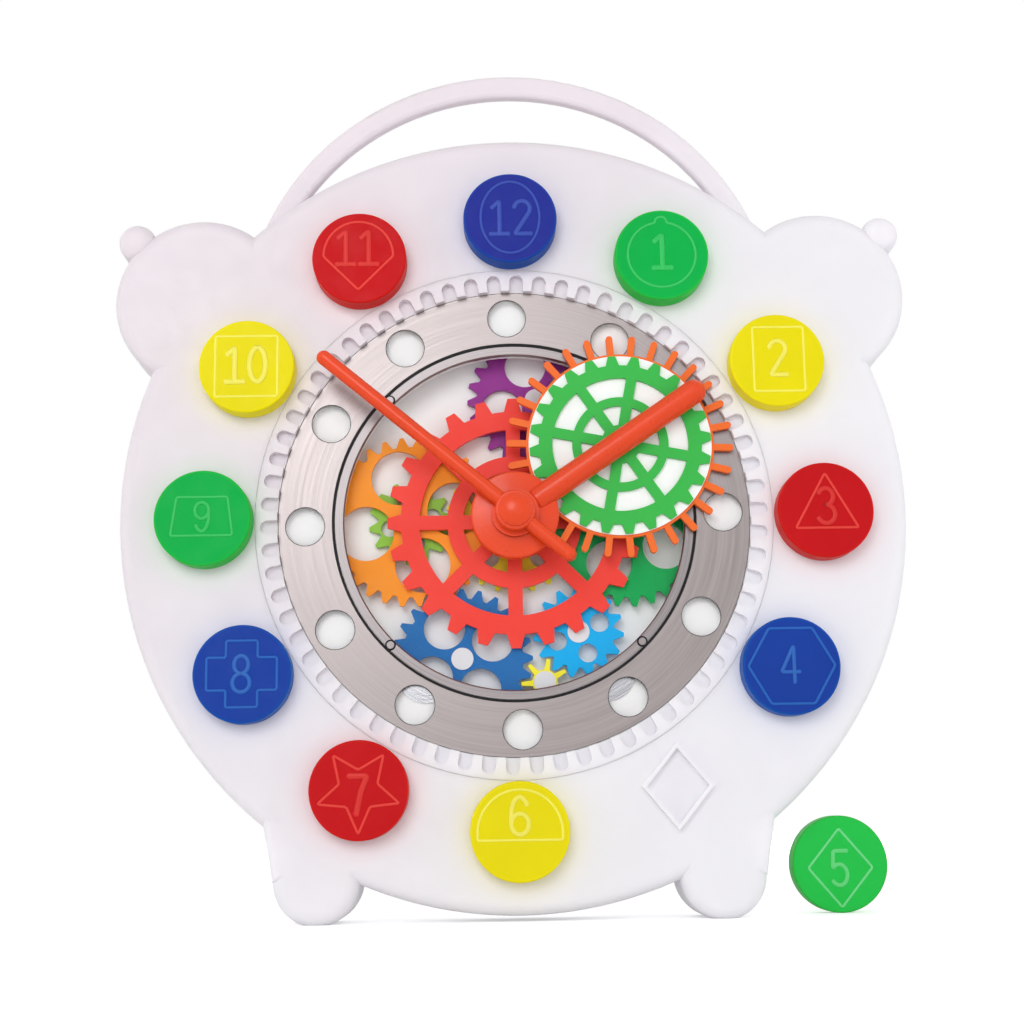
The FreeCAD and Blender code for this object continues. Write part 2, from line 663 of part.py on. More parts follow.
# The two halves of the case and the screws that join them
def make_front_shell(form, cavity):
    front = cut("front_form", form, half_space("behind_joint", -S.case_half * 2))
    opening = cylinder("dial_opening", ring_outer_radius + S.ring_clearance, S.case_half * 2)
    hollow = cut("front_hollow", front, fuse("front_room", [cavity, opening]))

    def boss(name, x, y):
        return cylinder(name, S.case_boss_radius, face_under, x, y)

    def tray_boss(name, x, y):
        return cylinder(name, S.tray_boss_radius, face_under - ring_bottom, x, y, ring_bottom)

    def pilot(name, x, y):
        return cylinder(name, S.case_screw_radius, S.case_screw_grip, x, y)

    def tray_pilot(name, x, y):
        return cylinder(name, S.tray_screw_radius, tray_screw_tip - ring_bottom, x, y, ring_bottom)

    ridges = [make_ridge(hour) for hour in range(1, 13)]
    bosses = on_circle("front_boss", boss, S.screw_count, case_screw_circle, S.screw_turn, S.case_rise)
    bosses += on_circle("tray_boss", tray_boss, S.screw_count, tray_screw_circle, S.screw_turn)
    pilots = on_circle("front_pilot", pilot, S.screw_count, case_screw_circle, S.screw_turn, S.case_rise)
    pilots += on_circle("tray_pilot", tray_pilot, S.screw_count, tray_screw_circle, S.screw_turn)
    solid = fuse("front_solid", [hollow] + ridges + bosses)
    stand(cut("front_shell", solid, fuse("front_holes", pilots)), "front_shell")


def make_rear_cover(form, cavity):
    back = cut("rear_form", form, half_space("before_joint", 0))
    hollow = cut("rear_hollow", back, cavity)
    room = case_radius - S.case_wall
    inside = room - S.lip_clearance - S.lip_thickness
    outside = room - S.lip_clearance
    root = room + S.case_wall / 4
    lip = turned("lip", [(inside, -S.lip_root), (root, -S.lip_root), (root, 0), (outside, 0),
                         (outside, S.lip_height), (inside, S.lip_height)])
    place(lip, 0, S.case_rise)
    prop = plate("tray_prop", S.prop_radius - S.prop_thickness, S.prop_radius, -face_under, tray_bottom)

    def boss(name, x, y):
        return cylinder(name, S.case_boss_radius, face_under, x, y, -face_under)

    def hole(name, x, y):
        return cylinder(name, S.case_screw_radius + S.screw_clearance, S.case_half, x, y, -S.case_half)

    def counterbore(name, x, y):
        return cylinder(name, S.case_screw_head + S.head_clearance, S.case_half - S.case_screw_depth,
                        x, y, -S.case_half)

    circle = (S.screw_count, case_screw_circle, S.screw_turn, S.case_rise)
    solid = fuse("rear_solid", [hollow, lip, prop] + on_circle("rear_boss", boss, *circle))
    holes = on_circle("rear_hole", hole, *circle) + on_circle("counterbore", counterbore, *circle)
    stand(cut("rear_cover", solid, fuse("rear_holes", holes)), "rear_cover")


def make_screws(name, circle, centre_y, shank, head, under_head, head_height, tip):
    """Pan-head screws that point at the reader."""
    def screw(label, x, y):
        body = turned(label, [(0, under_head - head_height), (head, under_head - head_height),
                              (head, under_head), (shank, under_head), (shank, tip), (0, tip)])
        return place(body, x, y)

    screws = on_circle(f"{name}_single", screw, S.screw_count, circle, S.screw_turn, centre_y)
    stand(group(name, screws), name)


# Ring gear round the dial opening
def make_ring_gear():
    flange = ring_outer_radius + S.ring_flange
    body = turned("ring_gear", [(ring_tip_radius, ring_bottom), (flange, ring_bottom),
                                (flange, face_under), (ring_outer_radius, face_under),
                                (ring_outer_radius, S.case_half), (ring_tip_radius, S.case_half)])
    sketch = sketch_on(body, "ring_gap_outline", z=S.case_half)
    low = ring_tip_radius - S.gap_half_width
    outline(sketch, round_slot(low, gap_root_radius, S.gap_half_width))
    gap = body.newObject("PartDesign::Pocket", "ring_gap")
    gap.Profile = sketch
    bind(gap, "Length", S.planet_thickness + S.gap_floor_room)
    repeat(body, gap, ring_gaps)
    stand(body, "ring_gear", turn=S.hour_turn)


# Steel ring, window and the frame that carries them
def make_window():
    step_radius = steel_inner_radius - S.steel_step
    step_top = steel_bottom + S.steel_step_height
    steel = turned("steel_ring", [(step_radius, steel_bottom), (steel_outer_radius, steel_bottom),
                                  (steel_outer_radius, steel_top), (steel_inner_radius, steel_top),
                                  (steel_inner_radius, step_top), (step_radius, step_top)])
    drill(steel, "steel_hole", S.steel_hole_radius, steel_hole_circle, S.hour_count)
    stand(steel, "steel_ring", turn=S.steel_hole_turn)

    gasket_inner = step_radius + S.gasket_gap
    stand(plate("gasket_ring", gasket_inner, gasket_inner + S.gasket_width, step_top,
                step_top + S.gasket_width), "gasket_ring")

    rib_top, rib = steel_bottom, frame_rib_radius
    rim = frame_outer_radius - S.frame_rim_width
    frame = turned("window_frame", [(frame_inner_radius, frame_bottom), (frame_outer_radius, frame_bottom),
                                    (frame_outer_radius, rib_top), (rim, rib_top), (rim, pane_bottom),
                                    (rib + S.frame_rib_width, pane_bottom), (rib + S.frame_rib_width, rib_top),
                                    (rib, rib_top), (rib, pane_bottom), (frame_inner_radius, pane_bottom)])
    pane = plate("window_pane", S.bush_radius, S.pane_radius, pane_bottom, bezel_bottom)
    bezel = turned("window_bezel", [(bezel_inner_radius, bezel_bottom), (S.pane_radius, bezel_bottom),
                                    (S.pane_radius, bezel_top), (bezel_inner_radius + S.bezel_edge, bezel_top),
                                    (bezel_inner_radius, bezel_top - S.bezel_edge)])
    for body in (frame, pane, bezel):
        drill(body, f"{body.Name}_rivet_hole", S.rivet_radius, rivet_circle, S.rivet_count, S.rivet_turn)
        stand(body, body.Name)

    def rivet(name, x, y):
        body = turned(name, [(0, frame_bottom), (S.rivet_radius, frame_bottom), (S.rivet_radius, bezel_top),
                             (S.rivet_head, bezel_top), (S.rivet_head, bezel_top + S.rivet_head_height),
                             (0, bezel_top + S.rivet_head_height)])
        return place(body, x, y)

    stand(group("bezel_rivets", on_circle("rivet", rivet, S.rivet_count, rivet_circle, S.rivet_turn)),
          "bezel_rivets")


def make_stepped_pads():
    """Two stepped steel pads under the five and seven o'clock holes, cut back to the frame's rib."""
    first, second, third = (S.pad_radius - S.pad_step * index for index in range(3))
    levels = [pane_bottom + S.pad_rise * index for index in range(4)]
    rib = frame_rib_radius + S.frame_rib_width + S.pad_gap
    pads = []
    for side, word in ((1, "right"), (-1, "left")):
        pad = turned(f"{word}_pad_blank", [(0, levels[0]), (first, levels[0]), (first, levels[1]),
                                           (second, levels[1]), (second, levels[2]), (third, levels[2]),
                                           (third, levels[3]), (0, levels[3])])
        x, y = around(pad_circle, S.pad_turn * side)
        place(pad, x, y)
        inside = cylinder(f"{word}_pad_inside", rib, S.case_half)
        pads.append(cut(f"{word}_pad", pad, inside))
    stand(group("stepped_pads", pads), "stepped_pads")


# Centres and tooth phases of the window gears
def meshed(driver, teeth, turn, driver_teeth):
    """Centre and phase of a gear that meshes with a driver (x, y, phase) at a clockwise turn."""
    x, y, phase = driver
    distance = S.gear_module * (driver_teeth + teeth) / 2
    offset = (phase - turn.value) * driver_teeth.value / 360
    new_phase = turn.value + 180 + (0.5 - offset) * 360 / teeth.value
    return around(distance, turn, x, y) + (new_phase,)


yellow_place = (Size(0), Size(0), 0.0)
orange_place = meshed(yellow_place, S.light_green_teeth, S.light_green_turn, S.yellow_teeth)
purple_place = meshed(yellow_place, S.purple_teeth, S.purple_turn, S.yellow_teeth)
blue_place = meshed(orange_place, S.blue_teeth, S.blue_turn, S.orange_teeth)
small_yellow_place = meshed(blue_place, S.small_yellow_teeth, S.small_yellow_turn, S.blue_teeth)
cyan_place = meshed(small_yellow_place, S.cyan_teeth, S.cyan_turn, S.small_yellow_teeth)
dark_green_place = meshed(cyan_place, S.dark_green_teeth, S.dark_green_turn, S.cyan_teeth)

POSTS = [
    ("orange", orange_place, lower_bottom, middle_bottom), ("purple", purple_place, lower_bottom, lower_bottom),
    ("blue", blue_place, middle_bottom, middle_bottom),
    ("small_yellow", small_yellow_place, middle_bottom, middle_bottom),
    ("cyan", cyan_place, middle_bottom, middle_bottom),
    ("dark_green", dark_green_place, middle_bottom, middle_bottom),
]


def post_top(upper_gear_bottom):
    return upper_gear_bottom + S.gear_thickness + S.end_clearance


# Tray with the gear posts moulded in, and the caps that keep the gears on
def make_tray():
    wall = turned("tray_dish", [
        (S.bush_radius, tray_bottom), (tray_outer_radius, tray_bottom), (tray_outer_radius, frame_bottom),
        (tray_flange_radius, ring_bottom - S.tray_flange), (tray_flange_radius, ring_bottom),
        (frame_outer_radius + S.tray_seat_gap, ring_bottom),
        (frame_outer_radius + S.tray_seat_gap, frame_bottom), (tray_inner_radius, frame_bottom),
        (tray_inner_radius, tray_top), (S.bush_radius, tray_top)])
    posts = []
    holes = []
    caps = []
    for name, (x, y, _), first_bottom, last_bottom in POSTS:
        foot_height = first_bottom - S.end_clearance - tray_top
        top = post_top(last_bottom)
        posts.append(cylinder(f"{name}_foot", S.post_foot_radius, foot_height, x, y, tray_top))
        posts.append(cylinder(f"{name}_post", S.post_radius, top - tray_top, x, y, tray_top))
        holes.append(cylinder(f"{name}_post_hole", S.cap_spigot, S.cap_spigot_length, x, y,
                              top - S.cap_spigot_length))
        cap = turned(f"{name}_cap", [(0, top - S.cap_spigot_length), (S.cap_spigot, top - S.cap_spigot_length),
                                     (S.cap_spigot, top), (S.cap_radius, top),
                                     (S.cap_radius, top + S.cap_thickness), (0, top + S.cap_thickness)])
        caps.append(place(cap, x, y))

    def screw_hole(label, x, y):
        return cylinder(label, S.tray_screw_radius + S.screw_clearance, S.tray_flange,
                        x, y, ring_bottom - S.tray_flange)

    holes += on_circle("flange_hole", screw_hole, S.screw_count, tray_screw_circle, S.screw_turn)
    solid = fuse("tray_solid", [wall] + posts)
    stand(cut("movement_tray", solid, fuse("tray_holes", holes)), "movement_tray")
    stand(group("post_caps", caps), "post_caps")


def make_bushes():
    bore = S.arbor_radius + S.running_clearance
    pane_bush = turned("pane_bush", [(bore, pane_bottom), (S.bush_radius, pane_bottom),
                                     (S.bush_radius, bezel_bottom), (S.bush_flange_radius, bezel_bottom),
                                     (S.bush_flange_radius, pane_bush_top), (bore, pane_bush_top)])
    stand(pane_bush, "pane_bush")
    tray_bush = turned("tray_bush", [(bore, tray_bush_bottom), (S.bush_flange_radius, tray_bush_bottom),
                                     (S.bush_flange_radius, tray_bottom), (S.bush_radius, tray_bottom),
                                     (S.bush_radius, tray_top), (bore, tray_top)])
    stand(tray_bush, "tray_bush")


def make_arbor():
    """The stepped arbor that the minute hand, sun pinion and two window gears turn with."""
    arbor = turned("minute_arbor", [(0, arbor_end), (S.arbor_radius, arbor_end),
                                    (S.arbor_radius, tray_top + S.end_clearance),
                                    (S.shoulder_radius, tray_top + S.end_clearance),
                                    (S.shoulder_radius, lower_bottom), (S.arbor_radius, lower_bottom),
                                    (S.arbor_radius, arbor_top), (0, arbor_top)])
    stand(arbor, "minute_arbor")
    clip_top = tray_bush_bottom - S.end_clearance
    stand(plate("arbor_clip", S.arbor_radius, S.arbor_clip_radius, clip_top - S.clip_thickness, clip_top),
          "arbor_clip")


# Window gears
def gear_half_widths():
    half = S.gear_module * math.pi / 4 - S.backlash / 2
    slope = tangent(S.flank_angle)
    return (half + S.gear_module * S.tooth_dedendum * slope, half - S.gear_module * S.tooth_addendum * slope)


def make_gear(label, teeth, place_at, bottom, bore, holes=None, hub=None):
    """A flat gear with straight-flanked teeth, round lightening holes and an optional hub above it."""
    top = bottom + S.gear_thickness
    root = S.gear_module * teeth / 2 - S.gear_module * S.tooth_dedendum
    tip = S.gear_module * teeth / 2 + S.gear_module * S.tooth_addendum
    corners = [(bore, bottom), (root, bottom), (root, top)]
    corners += [(hub, top), (hub, top + S.gear_gap), (bore, top + S.gear_gap)] if hub else [(bore, top)]
    body = turned(label, corners)
    root_half, tip_half = gear_half_widths()
    add_teeth(body, straight_tooth(root, tip, root_half, tip_half), bottom, S.gear_thickness, teeth)
    if holes:
        drill(body, f"{label}_hole", holes[0], holes[1], S.gear_hole_count, 45)
    x, y, phase = place_at
    stand(body, label, x, y, turn=phase)


def make_small_yellow_gear(bore):
    """The small pinion has slimmer teeth and deeper gaps, so that they clear the larger gears."""
    top = middle_bottom + S.gear_thickness
    pitch_radius = S.gear_module * S.small_yellow_teeth / 2
    root = pitch_radius - S.gear_module * S.small_dedendum
    tip = pitch_radius + S.gear_module * S.small_addendum
    body = plate("small_yellow_gear", bore, root, middle_bottom, top)
    add_teeth(body, straight_tooth(root, tip, S.small_tooth_root, S.small_tooth_tip), middle_bottom,
              S.gear_thickness, S.small_yellow_teeth)
    x, y, phase = small_yellow_place
    stand(body, "small_yellow_gear", x, y, turn=phase)


def make_red_gear():
    """The large spoked gear in front, with the spacer that sets it off the yellow gear."""
    yellow_top = lower_bottom + S.gear_thickness
    top = red_bottom + S.gear_thickness
    body = turned("red_gear", [(S.arbor_radius, yellow_top), (S.shoulder_radius, yellow_top),
                               (S.shoulder_radius, red_bottom), (S.red_root_radius, red_bottom),
                               (S.red_root_radius, top), (S.arbor_radius, top)])
    tooth = straight_tooth(S.red_root_radius, S.red_tip_radius, S.red_tooth_root, S.red_tooth_tip)
    add_teeth(body, tooth, red_bottom, S.gear_thickness, S.red_teeth)
    open_windows(body, "red_outer_window", S.red_band_outer, S.red_rim_inner, S.red_spoke, S.spoke_count)
    open_windows(body, "red_inner_window", S.red_hub_radius, S.red_band_inner, S.red_spoke, S.spoke_count)
    stand(body, "red_gear")


def make_window_gears():
    post_bore = S.post_radius + S.running_clearance
    make_gear("yellow_gear", S.yellow_teeth, yellow_place, lower_bottom, S.arbor_radius,
              (S.yellow_hole, S.yellow_hole_circle))
    make_gear("light_green_gear", S.light_green_teeth, orange_place, lower_bottom, post_bore,
              (S.light_green_hole, S.light_green_hole_circle), S.post_foot_radius)
    make_gear("orange_gear", S.orange_teeth, orange_place, middle_bottom, post_bore,
              (S.orange_hole, S.orange_hole_circle))
    make_gear("purple_gear", S.purple_teeth, purple_place, lower_bottom, post_bore,
              (S.purple_hole, S.purple_hole_circle))
    make_gear("blue_gear", S.blue_teeth, blue_place, middle_bottom, post_bore,
              (S.blue_hole, S.blue_hole_circle))
    make_gear("cyan_gear", S.cyan_teeth, cyan_place, middle_bottom, post_bore,
              (S.cyan_hole, S.cyan_hole_circle))
    make_gear("dark_green_gear", S.dark_green_teeth, dark_green_place, middle_bottom, post_bore,
              (S.dark_green_hole, S.dark_green_hole_circle))
    make_small_yellow_gear(post_bore)
    make_red_gear()


# Hand drive: a planet on the hour hand rolls round the ring gear, driven by the sun pinion
def make_planet():
    bore = S.pin_radius + S.running_clearance
    planet = plate("planet_wheel", bore, planet_rim_radius, planet_bottom, S.case_half)
    peg = round_slot(planet_rim_radius - S.peg_half_width, peg_tip, S.peg_half_width)
    add_teeth(planet, peg, planet_bottom, S.planet_thickness, S.planet_pegs)
    face = plate("planet_face", bore, face_radius, S.case_half, green_bottom)
    green = plate("green_wheel", bore, green_root_radius, green_bottom, green_top)
    tooth = straight_tooth(green_root_radius, green_tip_radius, S.green_tooth_root, S.green_tooth_tip)
    add_teeth(green, tooth, green_bottom, S.green_thickness, S.green_teeth)
    open_windows(green, "green_outer_window", S.green_band_outer, S.green_rim_inner, S.green_spoke,
                 S.spoke_count)
    open_windows(green, "green_inner_window", S.green_hub_radius, S.green_band_inner, S.green_spoke,
                 S.spoke_count)
    x, y = around(planet_centre, S.hour_turn)
    for body in (planet, face, green):
        stand(body, body.Name, x, y, turn=S.hour_turn)


def make_sun():
    hub = S.sun_hub_radius
    low, high = pane_bush_top + S.end_clearance, hour_bottom - S.end_clearance
    body = turned("sun_pinion", [(S.arbor_radius, low), (hub, low), (hub, planet_bottom),
                                 (sun_root_radius, planet_bottom), (sun_root_radius, S.case_half),
                                 (hub, S.case_half), (hub, high), (S.arbor_radius, high)])
    tooth = straight_tooth(sun_root_radius, sun_tip_radius, S.sun_tooth_root, S.sun_tooth_tip)
    add_teeth(body, tooth, planet_bottom, S.planet_thickness, S.sun_teeth)
    stand(body, "sun_pinion", turn=S.hour_turn + Size(180) / S.sun_teeth)


def rod(name, radius, start, reach, axis_z, direction=1):
    """A round rod along y with a ball end; direction -1 points it down."""
    bar = cylinder(f"{name}_bar", radius, reach - start, 0, start * direction, axis_z)
    bar.Placement.Rotation = Rotation(Vector(1, 0, 0), -90 * direction)
    ball = doc.addObject("Part::Sphere", f"{name}_ball")
    bind(ball, "Radius", radius)
    return [bar, place(ball, 0, reach * direction, axis_z)]


def make_hour_hand():
    bore = S.arbor_radius + S.running_clearance
    hub_top = hour_bottom + S.hour_hub_height
    hub_radius, edge, crown = S.hour_hub_radius, S.hour_hub_edge, S.hour_crown_radius
    groove_floor = hub_top + S.hour_crown_rise - S.hour_groove
    hub = turned("hour_hub", [(bore, hour_bottom), (hub_radius, hour_bottom),
                              (hub_radius, hub_top - edge, edge), (hub_radius - edge, hub_top),
                              (crown, hub_top + S.hour_crown_rise), (crown, groove_floor),
                              (crown - S.hour_groove, groove_floor), (crown - S.hour_groove, hour_crown),
                              (bore, hour_crown)])
    pieces = rod("hour_rod", S.hour_rod_radius, S.hour_rod_start, S.hour_rod_reach, hour_rod_axis)
    width = S.hour_hub_radius * 2
    below = block("below_hour_rod", width, S.hour_rod_reach + S.hour_hub_radius, S.hour_rod_radius,
                  -S.hour_hub_radius, 0, hour_bottom - S.hour_rod_radius)
    pin_hole = cylinder("pin_hole", S.pin_radius, S.pin_depth, 0, planet_centre, hour_bottom)
    hand = cut("hour_hand", fuse("hour_solid", [hub] + pieces), fuse("hour_cuts", [below, pin_hole]))
    stand(hand, "hour_hand", turn=S.hour_turn)

    clip_top = planet_bottom - S.planet_float
    clip_bottom = clip_top - S.clip_thickness
    x, y = around(planet_centre, S.hour_turn)
    pin_top = hour_bottom + S.pin_depth
    pin = turned("planet_pin", [(0, clip_bottom), (S.pin_radius, clip_bottom), (S.pin_radius, pin_top),
                                (0, pin_top)])
    stand(pin, "planet_pin", x, y)
    stand(plate("planet_clip", S.pin_radius, S.clip_radius, clip_bottom, clip_top), "planet_clip", x, y)


def make_minute_hand():
    collar, hub_radius, edge = S.minute_collar_radius, S.minute_hub_radius, S.minute_hub_edge
    hub = turned("minute_hub", [(0, minute_bottom), (collar, minute_bottom), (collar, minute_collar_top),
                                (hub_radius, minute_collar_top), (hub_radius, minute_top - edge, edge),
                                (hub_radius - edge, minute_top), (0, minute_top)])
    pieces = rod("minute_rod", S.minute_rod_radius, Size(0), S.minute_rod_reach, minute_rod_axis)
    pieces += rod("minute_tail", S.minute_tail_radius, Size(0), S.minute_tail_reach, minute_rod_axis, -1)
    bore = cylinder("minute_bore", S.arbor_radius, minute_top - minute_bottom, 0, 0, minute_bottom)
    stand(cut("minute_hand", fuse("minute_solid", [hub] + pieces), bore), "minute_hand", turn=S.minute_turn)

    side_top = minute_top + S.cap_side
    radius, rise = S.cap_dome_radius, S.cap_dome
    dome = (radius * radius + rise * rise) / rise / 2
    cap = turned("hand_cap", [(0, arbor_top), (S.arbor_radius, arbor_top), (S.arbor_radius, minute_top),
                              (radius, minute_top), (radius, side_top, dome), (0, cap_top)])
    stand(cap, "hand_cap")


tray_screw_tip = face_under + S.tray_screw_bite
pane_bush_top = bezel_bottom + S.bush_flange
tray_bush_bottom = tray_bottom - S.bush_flange
arbor_end = tray_bottom - S.arbor_tail
arbor_top = minute_top - S.cap_plug

case_form = make_case_form()
case_cavity = make_cavity()
make_front_shell(case_form, case_cavity)
make_rear_cover(case_form, case_cavity)
make_screws("case_screws", case_screw_circle, S.case_rise, S.case_screw_radius, S.case_screw_head,
            -S.case_screw_depth, S.case_screw_head_height, S.case_screw_grip)
make_ring_gear()
make_window()
make_stepped_pads()
make_tray()
make_screws("tray_screws", tray_screw_circle, 0, S.tray_screw_radius, S.tray_screw_head,
            ring_bottom - S.tray_flange, S.tray_screw_head_height, tray_screw_tip)
make_bushes()
make_arbor()
make_window_gears()
make_planet()
make_sun()
make_hour_hand()
make_minute_hand()
make_number_discs()
doc.recompute()

for item in doc.Objects:
    if "Invalid" in item.State or "Error" in item.State:
        raise RuntimeError(f"{item.Label} did not compute: {item.State}")
for item in nodes:
    if item.Shape.isNull() or not item.Shape.isValid():
        raise RuntimeError(f"{item.Label} is not a valid solid")

os.makedirs("parts", exist_ok=True)
for item in nodes:
    item.Shape.exportStep(f"parts/{item.Label}.step")
    print(f"{item.Label}: {len(item.Shape.Solids)} solids, {item.Shape.Volume:.0f} cubic millimetres")
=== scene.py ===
# %% [markdown]
# # A geared teaching clock, dressed in Blender
#
# The clock's solids were drawn in CAD and packed with their joints. This lesson loads them as a
# fixed frame, gives every part the finish that it has on the real toy, and adds the figures and
# outlines that stand proud of the number discs, with a little fine trim. Everything is in metres: x
# to the reader's right, y away from the reader, z up, with the clock standing on z = 0 and its dial
# facing -y.

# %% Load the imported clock
import math

import bpy
from mathutils import Matrix, Vector


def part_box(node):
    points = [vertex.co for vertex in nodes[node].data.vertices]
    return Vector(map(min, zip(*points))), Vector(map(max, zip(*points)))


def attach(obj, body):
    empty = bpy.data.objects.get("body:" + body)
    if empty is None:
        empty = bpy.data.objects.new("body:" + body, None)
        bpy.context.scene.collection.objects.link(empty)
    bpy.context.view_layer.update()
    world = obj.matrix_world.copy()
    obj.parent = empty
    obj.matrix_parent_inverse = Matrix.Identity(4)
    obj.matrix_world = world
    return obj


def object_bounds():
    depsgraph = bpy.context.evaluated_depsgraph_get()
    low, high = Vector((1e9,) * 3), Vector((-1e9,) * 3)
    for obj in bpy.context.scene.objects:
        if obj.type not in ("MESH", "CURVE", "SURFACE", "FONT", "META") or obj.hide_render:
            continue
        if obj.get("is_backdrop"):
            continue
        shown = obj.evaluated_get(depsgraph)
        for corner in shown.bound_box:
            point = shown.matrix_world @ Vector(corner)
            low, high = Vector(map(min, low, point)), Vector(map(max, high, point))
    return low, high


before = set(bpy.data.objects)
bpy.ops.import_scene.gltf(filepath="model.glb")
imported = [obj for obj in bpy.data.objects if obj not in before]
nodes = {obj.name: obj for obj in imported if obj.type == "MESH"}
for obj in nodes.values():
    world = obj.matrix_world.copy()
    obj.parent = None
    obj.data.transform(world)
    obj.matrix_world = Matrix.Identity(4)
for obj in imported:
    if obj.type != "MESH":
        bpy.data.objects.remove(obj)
cad_low, cad_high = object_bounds()
print("CAD nodes:", len(nodes))
print("CAD box, mm:", [round(1000 * side, 1) for side in cad_high - cad_low])

# %% [markdown]
# ## The main places on the clock
#
# The steel ring, the window and the hands share one axis, and patterns such as brushing have to be
# centred on it. The window pane is round, so the middle of its box gives the axis, and the finishes
# stay centred if the CAD is changed. Each disc's middle comes from its box in the same way. The
# disc of the fifth hour has been taken off its seat, so it is kept apart in a name of its own.

# %% Find the hand axis and the discs
def middle(name):
    """The middle of a CAD node's box."""
    low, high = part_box(name)
    return (low + high) / 2


HOURS = range(1, 13)
LOOSE_HOUR = 5
AXIS_HEIGHT = middle("window_pane").z
disc_middle = {hour: middle(f"number_{hour}") for hour in HOURS}
disc_front = {hour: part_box(f"number_{hour}")[0].y for hour in HOURS}
twelve_low, twelve_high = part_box("number_12")
DISC_RADIUS = (twelve_high.x - twelve_low.x) / 2
CASE_FRONT = twelve_high.y
print("hand axis at height", round(AXIS_HEIGHT, 4), "disc radius", round(DISC_RADIUS, 4))

# %% [markdown]
# ## Camera
#
# The photograph was taken from low down and a little to the left, which is why the undersides of
# the upper discs show. A camera was fitted to the middles of the twelve discs: it gives the place,
# three small turns and the lens. Blender's camera looks along its own -z, so the matrix is built
# from the three directions right, up and backward.

# %% Place the camera
CAMERA_PLACE = Vector((-0.01072, -0.6079, 0.03695))
CAMERA_YAW, CAMERA_PITCH, CAMERA_ROLL = -0.016234, 0.187605, 0.016337
CAMERA_LENS, CAMERA_SENSOR = 56.80, 36.0

turned_left = Matrix.Rotation(CAMERA_YAW, 3, "Z")
tilted_up = Matrix.Rotation(CAMERA_PITCH, 3, "X")
rolled = Matrix.Rotation(CAMERA_ROLL, 3, "Y")
look = turned_left @ tilted_up @ rolled
right, forward, up = (look.col[index] for index in range(3))

bpy.ops.object.camera_add(location=CAMERA_PLACE)
camera = bpy.context.object
camera.name = "camera"
camera.rotation_mode = "QUATERNION"
camera.rotation_quaternion = Matrix((right, up, -forward)).transposed().to_quaternion()
camera.data.lens = CAMERA_LENS
camera.data.sensor_width = CAMERA_SENSOR
bpy.context.scene.camera = camera
print("camera looks along", [round(part, 3) for part in forward])

# %% [markdown]
# ## Colours and small node helpers
#
# Colours are noted down as they look on a screen, from 0 to 255. Blender's shaders work in linear
# light, so each one is converted. The other helpers add a node, or a sum of two values, in one
# line, which keeps the finishes below short enough to read. The Mix node has a pair of inputs for
# each kind of value under the same names, so its colour sockets are found by their number.

# %% Helpers for colours and nodes
def screen_colour(red, green, blue):
    """A colour as seen on screen, turned into the linear values that shaders use."""
    channels = []
    for amount in (red, green, blue):
        share = amount / 255
        channels.append(share / 12.92 if share <= 0.04045 else ((share + 0.055) / 1.055) ** 2.4)
    return (*channels, 1.0)


MIX_FIRST, MIX_SECOND, MIX_RESULT = 6, 7, 2


def add_node(tree, kind, **settings):
    """Adds a node and sets its own settings, such as its operation."""
    made = tree.nodes.new(kind)
    for name, amount in settings.items():
        setattr(made, name, amount)
    return made


def put(tree, socket, amount):
    """Sets a socket to a plain amount, or links another node's output to it."""
    if isinstance(amount, bpy.types.NodeSocket):
        tree.links.new(amount, socket)
    else:
        socket.default_value = amount


def sum_up(tree, operation, *amounts):
    """The result of one step of arithmetic."""
    made = add_node(tree, "ShaderNodeMath", operation=operation)
    for socket, amount in zip(made.inputs, amounts):
        put(tree, socket, amount)
    return made.outputs[0]


def spread(tree, amount, low, high, new_low, new_high):
    """Maps a value from one range to another and holds it inside the new one."""
    made = add_node(tree, "ShaderNodeMapRange", interpolation_type="SMOOTHSTEP")
    for socket, number in zip(made.inputs, (amount, low, high, new_low, new_high)):
        put(tree, socket, number)
    return made.outputs[0]


def blend_colours(tree, share, first, second):
    """The first colour where the share is 0, the second where it is 1."""
    made = add_node(tree, "ShaderNodeMix", data_type="RGBA")
    put(tree, made.inputs["Factor"], share)
    put(tree, made.inputs[MIX_FIRST], first)
    put(tree, made.inputs[MIX_SECOND], second)
    return made.outputs[MIX_RESULT]


def noise(tree, place, scale, detail=3.0, roughness=0.55):
    """A smooth random value from 0 to 1, with the given number of waves in a metre."""
    made = add_node(tree, "ShaderNodeTexNoise")
    put(tree, made.inputs["Vector"], place)
    put(tree, made.inputs["Scale"], scale)
    put(tree, made.inputs["Detail"], detail)
    put(tree, made.inputs["Roughness"], roughness)
    return made.outputs["Fac"]


print("a mid grey of 128 is", round(screen_colour(128, 128, 128)[0], 3), "in linear light")

# %% [markdown]
# ## Node groups: effects that several finishes share
#
# A node group is a small machine with named inputs and outputs. It is built once and then dropped
# into each material with its own values. All the groups here read Object coordinates, which are
# fixed to the part, so a pattern stays where it is when a hand or gear turns.

# %% Start a node group
WHITE, BLACK = (1.0, 1.0, 1.0, 1.0), (0.0, 0.0, 0.0, 1.0)


def new_group(name, inputs, outputs):
    """A shader node group with the named sockets, and its input and output nodes."""
    tree = bpy.data.node_groups.new(name, "ShaderNodeTree")
    for label, kind, amount in inputs:
        socket = tree.interface.new_socket(label, in_out="INPUT", socket_type=f"NodeSocket{kind}")
        socket.default_value = amount
    for label, kind in outputs:
        tree.interface.new_socket(label, in_out="OUTPUT", socket_type=f"NodeSocket{kind}")
    return tree, add_node(tree, "NodeGroupInput"), add_node(tree, "NodeGroupOutput")


def object_place(tree):
    """The place on the part, in metres."""
    return add_node(tree, "ShaderNodeTexCoord").outputs["Object"]


print("node groups so far:", len(bpy.data.node_groups))

